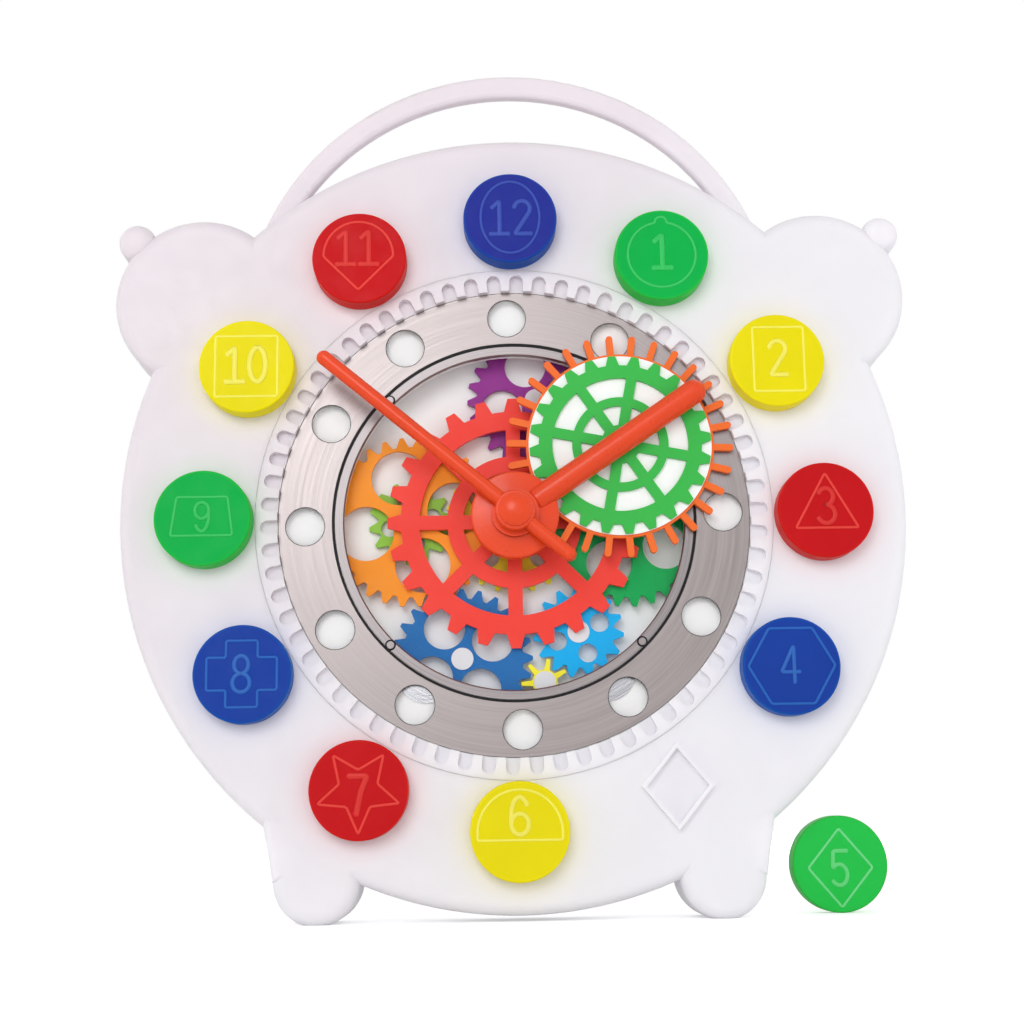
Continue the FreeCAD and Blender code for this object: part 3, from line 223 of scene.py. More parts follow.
# %% [markdown]
# ### Moulded plastic
#
# Injection-moulded plastic is never one flat colour. Its tone drifts a little where the melt
# flowed, its skin has a very fine texture from the mould, and its gloss varies with handling. Three
# noises at three sizes do this: about 40 mm for the tone, 8 mm for the gloss and about 1 mm for
# the skin. Most of a noise lies between 0.3 and 0.7, so that part is spread to the full range.

# %% Group: moulded plastic
TONE_WAVES, GLOSS_WAVES = 26.0, 120.0
NOISE_LOW, NOISE_HIGH = 0.3, 0.7

plastic, given, result = new_group(
    "moulded plastic",
    [("Colour", "Color", WHITE), ("Tone", "Float", 0.05), ("Gloss", "Float", 0.35),
     ("Gloss drift", "Float", 0.08), ("Grain size", "Float", 0.0008)],
    [("Colour", "Color"), ("Roughness", "Float"), ("Height", "Float")])
place = object_place(plastic)
tone_noise = noise(plastic, place, TONE_WAVES)
tone_shift = spread(plastic, tone_noise, NOISE_LOW, NOISE_HIGH, -1.0, 1.0)
tone = sum_up(plastic, "MULTIPLY_ADD", tone_shift, given.outputs["Tone"], 1.0)
brightness = add_node(plastic, "ShaderNodeHueSaturation")
put(plastic, brightness.inputs["Color"], given.outputs["Colour"])
put(plastic, brightness.inputs["Value"], tone)
gloss_noise = noise(plastic, place, GLOSS_WAVES, detail=4.0)
gloss_shift = spread(plastic, gloss_noise, NOISE_LOW, NOISE_HIGH, -1.0, 1.0)
gloss = sum_up(plastic, "MULTIPLY_ADD", gloss_shift, given.outputs["Gloss drift"],
               given.outputs["Gloss"])
grain_scale = sum_up(plastic, "DIVIDE", 1.0, given.outputs["Grain size"])
put(plastic, result.inputs["Colour"], brightness.outputs["Color"])
put(plastic, result.inputs["Roughness"], gloss)
put(plastic, result.inputs["Height"], noise(plastic, place, grain_scale, detail=2.0))
print("moulded plastic:", len(plastic.nodes), "nodes")

# %% [markdown]
# ### Halo of light round a disc
#
# The case is a frosted, slightly see-through white. Light that passes through a coloured disc
# spreads in it and leaves a soft halo of that colour. Real scattering would take very many samples
# to render cleanly, so the halo is painted light, mixed into the colour by distance from the disc's
# middle.

# %% Group: halo
halo, given, result = new_group(
    "halo",
    [("Colour", "Color", WHITE), ("Middle", "Vector", (0.0, 0.0, 0.0)),
     ("Halo colour", "Color", WHITE), ("Near", "Float", 0.018), ("Far", "Float", 0.034),
     ("Strength", "Float", 0.2)],
    [("Colour", "Color")])
away = add_node(halo, "ShaderNodeVectorMath", operation="DISTANCE")
put(halo, away.inputs[0], object_place(halo))
put(halo, away.inputs[1], given.outputs["Middle"])
fade = spread(halo, away.outputs["Value"], given.outputs["Near"], given.outputs["Far"], 1.0, 0.0)
share = sum_up(halo, "MULTIPLY", fade, given.outputs["Strength"])
put(halo, result.inputs["Colour"],
    blend_colours(halo, share, given.outputs["Colour"], given.outputs["Halo colour"]))
print("halo:", len(halo.nodes), "nodes")

# %% [markdown]
# ### Light in the rim of a disc
#
# The edge of a coloured disc is thin enough to let light in, so its rim is brighter and purer than
# its face. The group measures the distance from the disc's own axis, across the dial only, and
# mixes in a rim colour over about the last millimetre: painted light from the thin edge.

# %% Group: bright rim
ACROSS_THE_DIAL = (1.0, 0.0, 1.0)

rim, given, result = new_group(
    "bright rim",
    [("Colour", "Color", WHITE), ("Middle", "Vector", (0.0, 0.0, 0.0)),
     ("Rim colour", "Color", WHITE), ("Start", "Float", 0.0155), ("End", "Float", 0.0181),
     ("Strength", "Float", 0.6)],
    [("Colour", "Color")])
offset = add_node(rim, "ShaderNodeVectorMath", operation="SUBTRACT")
put(rim, offset.inputs[0], object_place(rim))
put(rim, offset.inputs[1], given.outputs["Middle"])
across_dial = add_node(rim, "ShaderNodeVectorMath", operation="MULTIPLY")
put(rim, across_dial.inputs[0], offset.outputs[0])
put(rim, across_dial.inputs[1], ACROSS_THE_DIAL)
out_from_axis = add_node(rim, "ShaderNodeVectorMath", operation="LENGTH")
put(rim, out_from_axis.inputs[0], across_dial.outputs[0])
edge = spread(rim, out_from_axis.outputs["Value"], given.outputs["Start"],
              given.outputs["End"], 0.0, 1.0)
share = sum_up(rim, "MULTIPLY", edge, given.outputs["Strength"])
put(rim, result.inputs["Colour"],
    blend_colours(rim, share, given.outputs["Colour"], given.outputs["Rim colour"]))
print("bright rim:", len(rim.nodes), "nodes")

# %% [markdown]
# ### Brushing round the dial
#
# The steel ring was spun against an abrasive, which leaves fine lines in circles round its axis.
# Noise has no seam if it is read along a circle: the direction from the axis gives the place round
# the ring, squeezed small, and the distance from the axis gives the place across it, stretched
# large. The same lines shift the colour, the roughness and the height.

# %% Group: round brushing
ROUND_WAVES = 1.6
LINE_LOW, LINE_HIGH = 0.25, 0.75

brushing, given, result = new_group(
    "round brushing",
    [("Light", "Color", WHITE), ("Dark", "Color", WHITE), ("Height", "Float", 0.149),
     ("Line size", "Float", 0.0006), ("Gloss", "Float", 0.35), ("Gloss drift", "Float", 0.1)],
    [("Colour", "Color"), ("Roughness", "Float"), ("Height", "Float")])
axes = add_node(brushing, "ShaderNodeSeparateXYZ")
put(brushing, axes.inputs[0], object_place(brushing))
rise = sum_up(brushing, "SUBTRACT", axes.outputs["Z"], given.outputs["Height"])
flat = add_node(brushing, "ShaderNodeCombineXYZ")
put(brushing, flat.inputs["X"], axes.outputs["X"])
put(brushing, flat.inputs["Y"], rise)
reach = add_node(brushing, "ShaderNodeVectorMath", operation="LENGTH")
put(brushing, reach.inputs[0], flat.outputs[0])
bearing = add_node(brushing, "ShaderNodeVectorMath", operation="NORMALIZE")
put(brushing, bearing.inputs[0], flat.outputs[0])
bearing_parts = add_node(brushing, "ShaderNodeSeparateXYZ")
put(brushing, bearing_parts.inputs[0], bearing.outputs[0])
line_place = add_node(brushing, "ShaderNodeCombineXYZ")
for axis in ("X", "Y"):
    put(brushing, line_place.inputs[axis],
        sum_up(brushing, "MULTIPLY", bearing_parts.outputs[axis], ROUND_WAVES))
put(brushing, line_place.inputs["Z"],
    sum_up(brushing, "DIVIDE", reach.outputs["Value"], given.outputs["Line size"]))
lines = noise(brushing, line_place.outputs[0], 1.0, detail=5.0, roughness=0.6)
line_share = spread(brushing, lines, LINE_LOW, LINE_HIGH, 0.0, 1.0)
line_swing = spread(brushing, lines, LINE_LOW, LINE_HIGH, -1.0, 1.0)
put(brushing, result.inputs["Colour"],
    blend_colours(brushing, line_share, given.outputs["Dark"], given.outputs["Light"]))
put(brushing, result.inputs["Roughness"],
    sum_up(brushing, "MULTIPLY_ADD", line_swing, given.outputs["Gloss drift"],
           given.outputs["Gloss"]))
put(brushing, result.inputs["Height"], lines)
print("round brushing:", len(brushing.nodes), "nodes")

# %% [markdown]
# ## Materials
#
# Each material holds one Principled BSDF. The groups give it colours and masks; what is the same
# all over, such as the metal amount or the clear coat, is set on the shader itself. The helpers
# below start a material, place a group in it, raise its skin and give it to parts.

# %% Start a material
def new_material(name, **constants):
    """A material with one Principled BSDF whose named inputs are set to plain numbers."""
    made = bpy.data.materials.new(name)
    made.use_nodes = True
    shader = made.node_tree.nodes["Principled BSDF"]
    for label, amount in constants.items():
        shader.inputs[label.replace("_", " ")].default_value = amount
    return made, made.node_tree, shader


def use_group(tree, group, **amounts):
    """Places a group in a material. Spaces in socket names are written as underscores."""
    made = add_node(tree, "ShaderNodeGroup", node_tree=group)
    for label, amount in amounts.items():
        put(tree, made.inputs[label.replace("_", " ")], amount)
    return made


def raise_skin(tree, shader, height, depth, strength):
    """Feeds a height to the shader as a bump of the given depth in metres."""
    bump = add_node(tree, "ShaderNodeBump")
    bump.inputs["Strength"].default_value = strength
    bump.inputs["Distance"].default_value = depth
    put(tree, bump.inputs["Height"], height)
    put(tree, shader.inputs["Normal"], bump.outputs["Normal"])


def dress(material, *names):
    """Gives CAD nodes their material."""
    for name in names:
        slots = nodes[name].data.materials
        slots.clear()
        slots.append(material)


print("materials so far:", len(bpy.data.materials))

# %% [markdown]
# ### Frosted white case
#
# The case goes from a warm grey-white at the upper left to a cooler, lighter white at the lower
# right, and it carries a painted halo of coloured light round each seated disc. The drift is a
# blend of two whites along a diagonal in the case's own coordinates, and a noise makes its border
# wander.
# Then comes one halo group per disc, each fed by the one before, painting its light into the
# colour.
# A little subsurface light softens the whole.

# %% Finish: frosted case
DISC_FAMILY = {1: "green", 2: "yellow", 3: "red", 4: "blue", 5: "pale green", 6: "yellow",
               7: "red", 8: "blue", 9: "green", 10: "yellow", 11: "red", 12: "navy"}
HALO_COLOURS = {"green": screen_colour(222, 238, 220), "yellow": screen_colour(242, 236, 196),
                "red": screen_colour(244, 218, 222), "blue": screen_colour(220, 222, 242),
                "navy": screen_colour(222, 218, 238)}
HALO_NEAR, HALO_FAR, HALO_STRENGTH = 0.017, 0.029, 0.3
CASE_WARM, CASE_COOL = screen_colour(227, 218, 224), screen_colour(242, 240, 246)
WARM_END, COOL_END = -0.26, 0.04
CLOUD_WAVES, CLOUD_REACH = 14.0, 0.16


def frosted_case(name, halo_hours):
    """Frosted white plastic with a painted halo of light round the discs of the given hours."""
    made, tree, shader = new_material(name, Specular_IOR_Level=0.3, Subsurface_Weight=0.35,
                                      Subsurface_Scale=0.006, Subsurface_Radius=(1.0, 0.9, 0.9))
    parts = add_node(tree, "ShaderNodeSeparateXYZ")
    put(tree, parts.inputs[0], object_place(tree))
    slope = sum_up(tree, "SUBTRACT", parts.outputs["X"], parts.outputs["Z"])
    cloud = noise(tree, object_place(tree), CLOUD_WAVES, detail=4.0)
    wander = sum_up(tree, "MULTIPLY_ADD", cloud, CLOUD_REACH, slope)
    share = spread(tree, wander, WARM_END, COOL_END, 0.0, 1.0)
    colour = blend_colours(tree, share, CASE_WARM, CASE_COOL)
    # Each halo is painted light from its disc, mixed into the case's colour.
    for hour in halo_hours:
        at = disc_middle[hour]
        glowing = use_group(tree, halo, Colour=colour, Middle=(at.x, CASE_FRONT, at.z),
                            Halo_colour=HALO_COLOURS[DISC_FAMILY[hour]], Near=HALO_NEAR,
                            Far=HALO_FAR, Strength=HALO_STRENGTH)
        colour = glowing.outputs["Colour"]
    skin = use_group(tree, plastic, Colour=colour, Tone=0.012, Gloss=0.42, Gloss_drift=0.07,
                     Grain_size=0.0011)
    put(tree, shader.inputs["Base Color"], skin.outputs["Colour"])
    put(tree, shader.inputs["Roughness"], skin.outputs["Roughness"])
    raise_skin(tree, shader, skin.outputs["Height"], depth=0.00004, strength=0.5)
    return made


seated_hours = [hour for hour in HOURS if hour != LOOSE_HOUR]
dress(frosted_case("frosted white front", seated_hours), "front_shell", "ring_gear")
dress(frosted_case("frosted white back", []), "rear_cover")
print("case dressed, halos:", len(seated_hours))

# %% [markdown]
# ### Plain moulded finishes
#
# The gears, hands and inner mouldings are all plain glossy plastic in different colours, so one
# helper makes them all from the moulded plastic group. The gears read as flat, even colours in the
# photograph, so their tone drifts very little.

# %% Finishes: gears, hands and inner mouldings
def moulded(name, colour, tone=0.02, gloss=0.4, coat=0.0, grain=0.0009, depth=0.00002,
            shine=0.18):
    """A plain moulded finish. Grain size and depth are in metres."""
    made, tree, shader = new_material(name, Specular_IOR_Level=shine, Coat_Weight=coat,
                                      Coat_Roughness=0.12)
    skin = use_group(tree, plastic, Colour=colour, Tone=tone, Gloss=gloss, Gloss_drift=0.06,
                     Grain_size=grain)
    put(tree, shader.inputs["Base Color"], skin.outputs["Colour"])
    put(tree, shader.inputs["Roughness"], skin.outputs["Roughness"])
    raise_skin(tree, shader, skin.outputs["Height"], depth, strength=0.4)
    return made


GEAR_COLOURS = {
    "red_gear": (239, 62, 50), "yellow_gear": (249, 237, 50), "orange_gear": (247, 148, 29),
    "light_green_gear": (141, 198, 63), "purple_gear": (146, 39, 143),
    "blue_gear": (22, 106, 176), "small_yellow_gear": (249, 237, 50),
    "cyan_gear": (0, 174, 239), "dark_green_gear": (0, 166, 81),
    "planet_wheel": (240, 110, 44), "green_wheel": (57, 181, 74), "sun_pinion": (249, 237, 50),
}
for name, seen in GEAR_COLOURS.items():
    dress(moulded(f"plastic {name.replace('_', ' ')}", screen_colour(*seen)), name)

white_inside = moulded("plain white moulding", screen_colour(252, 252, 252), tone=0.01,
                       gloss=0.5)
dress(white_inside, "window_frame", "movement_tray", "pane_bush", "tray_bush", "planet_face")
# The post caps are a greyer white: painted shade, as the middles of the gears lie in shade.
post_cap_painted_shade = moulded("white moulding greyed by painted shade", screen_colour(224, 224, 228), tone=0.03,
                       gloss=0.5)
dress(post_cap_painted_shade, "post_caps")
hand_red = moulded("glossy hand red", screen_colour(228, 68, 22), tone=0.03, gloss=0.3,
                   coat=0.12, grain=0.0012, depth=0.000008, shine=0.3)
dress(hand_red, "hour_hand", "minute_hand", "hand_cap")
print("gears dressed:", len(GEAR_COLOURS))

# %% [markdown]
# ### Number discs
#
# Each disc has a body colour and a purer rim colour, which is painted light let in by the thin
# edge: the table holds both for each colour family. The bright rim group is centred on each disc,
# so each disc has a material of its own, made by the same few lines.

# %% Finishes: number discs
# Each pair holds the face colour, then the rim colour, which is painted light.
DISC_COLOURS = {
    "green": (screen_colour(0, 172, 70), screen_colour(40, 190, 60)),
    "pale green": (screen_colour(36, 190, 74), screen_colour(50, 180, 66)),
    "yellow": (screen_colour(231, 217, 6), screen_colour(240, 226, 4)),
    "red": (screen_colour(192, 12, 20), screen_colour(206, 24, 12)),
    "blue": (screen_colour(20, 60, 154), screen_colour(4, 84, 172)),
    "navy": (screen_colour(32, 44, 142), screen_colour(4, 76, 168)),
}
RIM_WIDTH, RIM_STRENGTH = 0.0012, 0.85


def disc_plastic(hour):
    """The plastic of one hour's disc, with its painted rim light centred on it."""
    face, rim_light_colour = DISC_COLOURS[DISC_FAMILY[hour]]
    made, tree, shader = new_material(f"disc {hour} plastic", Specular_IOR_Level=0.12)
    lit = use_group(tree, rim, Colour=face, Middle=tuple(disc_middle[hour]),
                    Rim_colour=rim_light_colour, Start=DISC_RADIUS - RIM_WIDTH, End=DISC_RADIUS,
                    Strength=RIM_STRENGTH)
    skin = use_group(tree, plastic, Colour=lit.outputs["Colour"], Tone=0.035, Gloss=0.46,
                     Gloss_drift=0.08, Grain_size=0.0007)
    put(tree, shader.inputs["Base Color"], skin.outputs["Colour"])
    put(tree, shader.inputs["Roughness"], skin.outputs["Roughness"])
    raise_skin(tree, shader, skin.outputs["Height"], depth=0.00003, strength=0.5)
    return made


for hour in HOURS:
    dress(disc_plastic(hour), f"number_{hour}")
print("discs dressed:", len(HOURS))

# %% [markdown]
# ### Metal
#
# The ring and the bezel are brushed round the dial. A metal's colour is the colour of its
# reflection, so it is set near the tone that the metal has between the highlights. The rivets
# share the bezel's satin finish. Screws, shafts and the stepped pads are plated steel, finer and
# brighter, and a dark steel paints the shade at the edges of the holes.

# %% Finishes: brushed and plated steel
def brushed(name, light, dark, line=0.0006, gloss=0.38):
    """Metal brushed round the hand axis. The line size is in metres."""
    made, tree, shader = new_material(name, Metallic=1.0)
    lines = use_group(tree, brushing, Light=light, Dark=dark, Height=AXIS_HEIGHT, Line_size=line,
                      Gloss=gloss, Gloss_drift=0.08)
    put(tree, shader.inputs["Base Color"], lines.outputs["Colour"])
    put(tree, shader.inputs["Roughness"], lines.outputs["Roughness"])
    raise_skin(tree, shader, lines.outputs["Height"], depth=0.00002, strength=0.6)
    return made


ring_steel = brushed("brushed steel ring", screen_colour(158, 150, 149),
                     screen_colour(143, 135, 135))
dress(ring_steel, "steel_ring")
satin_steel = brushed("satin bezel", screen_colour(152, 145, 145), screen_colour(128, 122, 124),
                      line=0.0004)
dress(satin_steel, "window_bezel", "bezel_rivets")
plated_steel = brushed("plated steel", screen_colour(196, 196, 200),
                       screen_colour(168, 168, 174), line=0.0003, gloss=0.24)
dress(plated_steel, "case_screws", "tray_screws", "minute_arbor", "arbor_clip", "planet_pin",
      "planet_clip", "stepped_pads")
# Dark steel for the painted shade at the edges of the holes.
edge_shade_steel = brushed("dark steel for painted edge shade", screen_colour(92, 88, 90), screen_colour(66, 63, 66),
                     line=0.0003, gloss=0.3)
print("metals made:", ring_steel.name, satin_steel.name, plated_steel.name, edge_shade_steel.name)

# %% [markdown]
# ### Black ring and clear window
#
# The thin black ring is soft rubber. The window is a clear sheet: most of the light goes straight
# through, so it is drawn as a mostly transparent surface with a clear gloss, which also lets the
# lamps light the gears behind it. Faint smears vary how much of it can be seen.

# %% Finishes: rubber and window
SMEAR_WAVES = 38.0

rubber = moulded("black rubber", screen_colour(26, 25, 27), tone=0.1, gloss=0.55, grain=0.0006,
                 depth=0.00005)
dress(rubber, "gasket_ring")

window, tree, shader = new_material("clear window", IOR=1.45)
shader.inputs["Base Color"].default_value = screen_colour(250, 252, 252)
smears = noise(tree, object_place(tree), SMEAR_WAVES, detail=5.0)
put(tree, shader.inputs["Roughness"],
    spread(tree, smears, low=0.35, high=0.7, new_low=0.02, new_high=0.09))
put(tree, shader.inputs["Alpha"],
    spread(tree, smears, low=0.35, high=0.75, new_low=0.002, new_high=0.006))
dress(window, "window_pane")
print("all CAD nodes dressed:", all(len(node.data.materials) == 1 for node in nodes.values()))

# %% [markdown]
# ## Outlines on the discs
#
# On each disc a thin raised line repeats the shape of its seat, and inside it stands the figure.
# Both look drawn with a pen, with an even width and round ends. A curve with a round bevel is such
# a pen stroke: its points are the line and its bevel is the pen. It is made a mesh, flattened
# towards the disc's face so that it stands a quarter of a millimetre proud, and moved into place.
#
# The shapes follow the seats in the CAD, in millimetres round the middle of the disc. On discs 3, 5
# and 6 they stand a few millimetres up or down from it, as they do on the toy.

# %% Shape outlines
def bow(across, rise, half_width, half_height, start, end, steps=16):
    """Points along part of an ellipse; angles in degrees, anticlockwise from the right."""
    points = []
    for step in range(steps + 1):
        angle = math.radians(start + (end - start) * step / steps)
        points.append((across + half_width * math.cos(angle), rise + half_height * math.sin(angle)))
    return points


def spokes(radii, first_turn):
    """Corners at even turns round the middle, clockwise from twelve, in degrees."""
    corners = []
    for index, radius in enumerate(radii):
        turn = math.radians(first_turn + index * 360 / len(radii))
        corners.append((radius * math.sin(turn), radius * math.cos(turn)))
    return corners


def box_corners(width, height):
    """The corners of a box round the middle, anticlockwise from the lower left."""
    return [(-width / 2, -height / 2), (width / 2, -height / 2), (width / 2, height / 2),
            (-width / 2, height / 2)]


PLUS_QUARTER = [(5.8, -12.2), (5.8, -6.0), (12.9, -6.0)]
PLUS_RIGHT = PLUS_QUARTER + [(x, -y) for x, y in reversed(PLUS_QUARTER)]
OUTLINES = {
    12: bow(0, 0.2, 11.4, 14.5, 0, 352, 44),
    1: bow(0, 0, 13.1, 13.1, 100.1, 439.9, 48) + bow(0, 13.0, 2.3, 2.3, 0, 180, 10),
    2: [(x + 0.6, y + 0.4) for x, y in box_corners(19.4, 25.2)],
    3: [(-11.6, -6.9), (12.0, -6.9), (0.2, 14.0)],
    4: spokes([16.05] * 6, 90),
    5: [(0, -16.0), (12.2, -1.4), (0, 13.2), (-12.2, -1.4)],
    6: [(15.4, -3.0)] + bow(0, -0.4, 15.4, 15.4, 0, 180, 32) + [(-15.4, -3.0)],
    7: spokes([15.6, 7.3] * 5, 180),
    8: PLUS_RIGHT + [(-x, -y) for x, y in PLUS_RIGHT],
    9: [(-11.7, -6.7), (11.4, -6.7), (9.4, 7.9), (-9.6, 7.9)],
    10: box_corners(23.6, 23.6),
    11: [(-0.3, -12.9)] + bow(-0.3, 0.6, 13.4, 13.9, 0, 180, 32),
}
print("shape outlines:", len(OUTLINES))

# %% [markdown]
# ## Figures
#
# The figures are drawn as strokes too. Each one is noted in a box up to 5.8 mm wide and 11.8 mm
# tall between the middles of its strokes: bows for the round parts, straight runs for the rest. The
# 1 has a flag and a foot. Each is then scaled to its size on the toy, where the 5 and the 9 are
# smaller than the others. The tables hold where each figure stands, half of the gap between the
# middles of two figures, and the radius of the pen, all in millimetres.

# %% Figure strokes
FIGURES = {
    "0": [bow(0, 0, 2.7, 5.9, 90, 450, 36)],
    "1": [[(-2.4, 3.7), (0, 5.9), (0, -5.9)], [(-2.9, -5.9), (2.9, -5.9)]],
    "2": [bow(0, 3.1, 2.7, 2.8, 165, -32, 20) + [(-2.6, -5.9), (2.9, -5.9)]],
    "3": [bow(-0.2, 3.1, 2.5, 2.8, 150, -90, 20), bow(-0.2, -2.8, 2.9, 3.1, 90, -150, 24)],
    "4": [[(2.9, -2.6), (-2.9, -2.6), (1.3, 5.9), (1.3, -5.9)]],
    "5": [[(2.6, 5.9), (-2.0, 5.9), (-2.3, 0.7)] + bow(-0.1, -2.3, 2.8, 3.6, 138, -140, 26)],
    "6": [bow(0, 0, 2.8, 5.9, 38, 180, 20) + bow(0, -2.6, 2.8, 3.3, 180, 540, 32)],
    "7": [[(-2.7, 5.9), (2.9, 5.9), (0.9, 0.9), (-0.5, -5.9)]],
    "8": [bow(0, 3.0, 2.3, 2.9, -90, 270, 28), bow(0, -2.9, 2.8, 3.0, 90, 450, 32)],
    "9": [bow(0, 0, -2.8, -5.9, 38, 180, 20) + bow(0, 2.6, -2.8, -3.3, 180, 540, 32)],
}
PLACES = {12: (0.3, 0.1), 1: (0.2, 1.3), 2: (0.2, 0.9), 3: (0.3, 1.5), 4: (-0.6, 0.7),
          5: (-0.4, -1.5), 6: (0, 5.6), 7: (-0.1, -1.6), 8: (-0.2, 0), 9: (-0.1, 0.4),
          10: (-0.1, 0.6), 11: (-0.7, 4.1)}
HALF_GAPS = {10: 4.3, 11: 4.4, 12: 4.4}
FIGURE_SIZE, SMALL_FIGURES = 1.13, {5: 1.08, 9: 0.93}
PENS = {12: 0.95, 1: 1.1, 2: 0.95, 3: 0.95, 4: 0.75, 5: 0.85, 6: 0.9, 7: 1.15, 8: 0.8,
        9: 0.75, 10: 1.05, 11: 1.05}
print("figures drawn:", len(FIGURES))

# %% [markdown]
# ## Corners of a stroke
#
# A bevelled line gets thin where it turns a sharp corner. A pen doesn't, because it makes a small
# bend there. So each corner of more than 20 degrees is swapped for a short curve between a point
# before it and a point after it, pulled towards the corner itself.

# %% Round the corners of a stroke
SHARP = math.radians(20)


def soften(points, closed, cut=0.9, steps=4):
    """The same line with each sharp corner swapped for a small bend, as a pen draws it."""
    count = len(points)
    softened = []
    for index, (x, y) in enumerate(points):
        at = Vector((x, y))
        before, after = Vector(points[index - 1]), Vector(points[(index + 1) % count])
        is_end = not closed and index in (0, count - 1)
        if is_end or (at - before).angle(after - at) < SHARP:
            softened.append((x, y))
            continue
        start = at + (before - at).normalized() * min(cut, (before - at).length / 2)
        end = at + (after - at).normalized() * min(cut, (after - at).length / 2)
        for step in range(steps + 1):
            share = step / steps
            bend = start.lerp(at, share).lerp(at.lerp(end, share), share)
            softened.append((bend.x, bend.y))
    return softened


print("a square of 4 corners becomes", len(soften(box_corners(10, 10), True)), "points")

# %% [markdown]
# ## Choosing objects
#
# Many of Blender's operators work on whatever is selected, and some need one of the selected
# objects to be the active one. Two small helpers keep that from going wrong.

# %% Select objects
def deselect():
    """Clears the selection, so that a new object is alone in it."""
    bpy.ops.object.select_all(action="DESELECT")


def pick(*chosen):
    """Selects only these objects and makes the first one active."""
    deselect()
    for item in chosen:
        item.select_set(True)
    bpy.context.view_layer.objects.active = chosen[0]


deselect()
print("objects selected:", len(bpy.context.selected_objects))

# %% [markdown]
# ## Pen strokes as pieces
#
# The helper makes the curve with Blender's own curve primitive, replaces its points, and converts
# it to a mesh. Round ends are small balls joined to both ends of every open stroke. The finished
# mesh is flattened along y, moved to the disc's face and applied, so the object itself stays at the
# origin. It rides on its disc's body, so it comes off with the disc.

# %% Draw strokes on a disc
MM_IN_M = 1000
PROUD = 0.00028


def draw_strokes(name, strokes, closed, pen, hour, plastic_used):
    """Raised strokes on the front of an hour's disc. Points and pen are in millimetres."""
    deselect()
    bpy.ops.curve.primitive_nurbs_path_add()
    drawn = bpy.context.object
    drawn.name = name
    drawn.data.splines.clear()
    for stroke in strokes:
        softened = soften(stroke, closed)
        line = drawn.data.splines.new("POLY")
        line.points.add(len(softened) - 1)
        for point, (x, y) in zip(line.points, softened):
            point.co = (x / MM_IN_M, 0.0, y / MM_IN_M, 1.0)
        line.use_cyclic_u = closed
    drawn.data.dimensions = "3D"
    drawn.data.bevel_depth = pen / MM_IN_M
    drawn.data.bevel_resolution = 2
    drawn.data.use_fill_caps = True
    bpy.ops.object.convert(target="MESH")
    drawn = bpy.context.object
    balls = []
    if not closed:
        for stroke in strokes:
            for x, y in (stroke[0], stroke[-1]):
                bpy.ops.mesh.primitive_uv_sphere_add(segments=12, ring_count=8,
                                                     radius=pen / MM_IN_M,
                                                     location=(x / MM_IN_M, 0.0, y / MM_IN_M))
                balls.append(bpy.context.object)
    pick(drawn, *balls)
    if balls:
        bpy.ops.object.join()
    centre = disc_middle[hour]
    drawn.scale = (1.0, PROUD / (pen / MM_IN_M), 1.0)
    drawn.location = (centre.x, disc_front[hour], centre.z)
    bpy.ops.object.transform_apply(location=True, rotation=True, scale=True)
    bpy.ops.object.shade_smooth()
    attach(drawn, f"disc_{hour}")
    drawn.data.materials.clear()
    drawn.data.materials.append(plastic_used)


print("strokes stand proud by, mm:", PROUD * MM_IN_M)

# %% [markdown]
# ### Finish of the strokes
#
# The raised lines are the same plastic as the disc, but thinner, and paler where light gathers in
# them; that paleness is painted light. The thin outline takes in more light than the broad figure,
# so each colour family gets two plastics made paler by painted light. Then every disc gets its
# outline and its figure, and a figure of two digits is drawn with one digit on each side of its
# middle.

# %% Draw all twelve discs
OUTLINE_PEN = 0.5
# These are the disc colours made paler by painted light.
OUTLINE_LIT_COLOURS = {"green": (58, 194, 98), "pale green": (110, 214, 134), "yellow": (244, 237, 92),
                   "red": (226, 66, 58), "blue": (40, 98, 182), "navy": (58, 80, 172)}
FIGURE_LIT_COLOURS = {"green": (50, 190, 92), "pale green": (96, 208, 120), "yellow": (240, 231, 92),
                  "red": (212, 50, 46), "blue": (46, 100, 182), "navy": (56, 78, 170)}
outline_plastic = {
    family: moulded(f"{family} outline plastic", screen_colour(*seen), tone=0.03)
    for family, seen in OUTLINE_LIT_COLOURS.items()}
figure_plastic = {
    family: moulded(f"{family} figure plastic", screen_colour(*seen), tone=0.03)
    for family, seen in FIGURE_LIT_COLOURS.items()}

for hour in HOURS:
    family = DISC_FAMILY[hour]
    draw_strokes(f"disc_{hour}_outline", [OUTLINES[hour]], True, OUTLINE_PEN, hour,
                 outline_plastic[family])
    across, rise = PLACES[hour]
    half_gap = HALF_GAPS.get(hour, 0.0)
    size = SMALL_FIGURES.get(hour, FIGURE_SIZE)
    strokes = []
    for digit, side in zip(str(hour), (-1, 1)):
        shift = across + side * half_gap
        for stroke in FIGURES[digit]:
            strokes.append([(x * size + shift, y * size + rise) for x, y in stroke])
    draw_strokes(f"disc_{hour}_figure", strokes, False, PENS[hour], hour, figure_plastic[family])
print("discs with strokes:", len(HOURS))

# %% [markdown]
# ## Painted shade on the metal
#
# The shade at the edge of each hole in the steel, and round each rivet of the bezel, is painted
# as a fine dark ring. A torus is the natural start: it is laid in the plane of the dial
# and pressed flat, once for each place in the pattern, and the rings of a pattern become one piece.

# %% Make rings and join them
RING_PRESS = 0.5


def thin_ring(across, depth, height, radius, width):
    """A flat ring in the plane of the dial, half as thick as it is wide, in metres."""
    deselect()
    bpy.ops.mesh.primitive_torus_add(major_segments=64, minor_segments=8, major_radius=radius,
                                     minor_radius=width / 2, location=(across, depth, height),
                                     rotation=(math.radians(90), 0, 0))
    ring = bpy.context.object
    ring.scale.z = RING_PRESS
    return ring


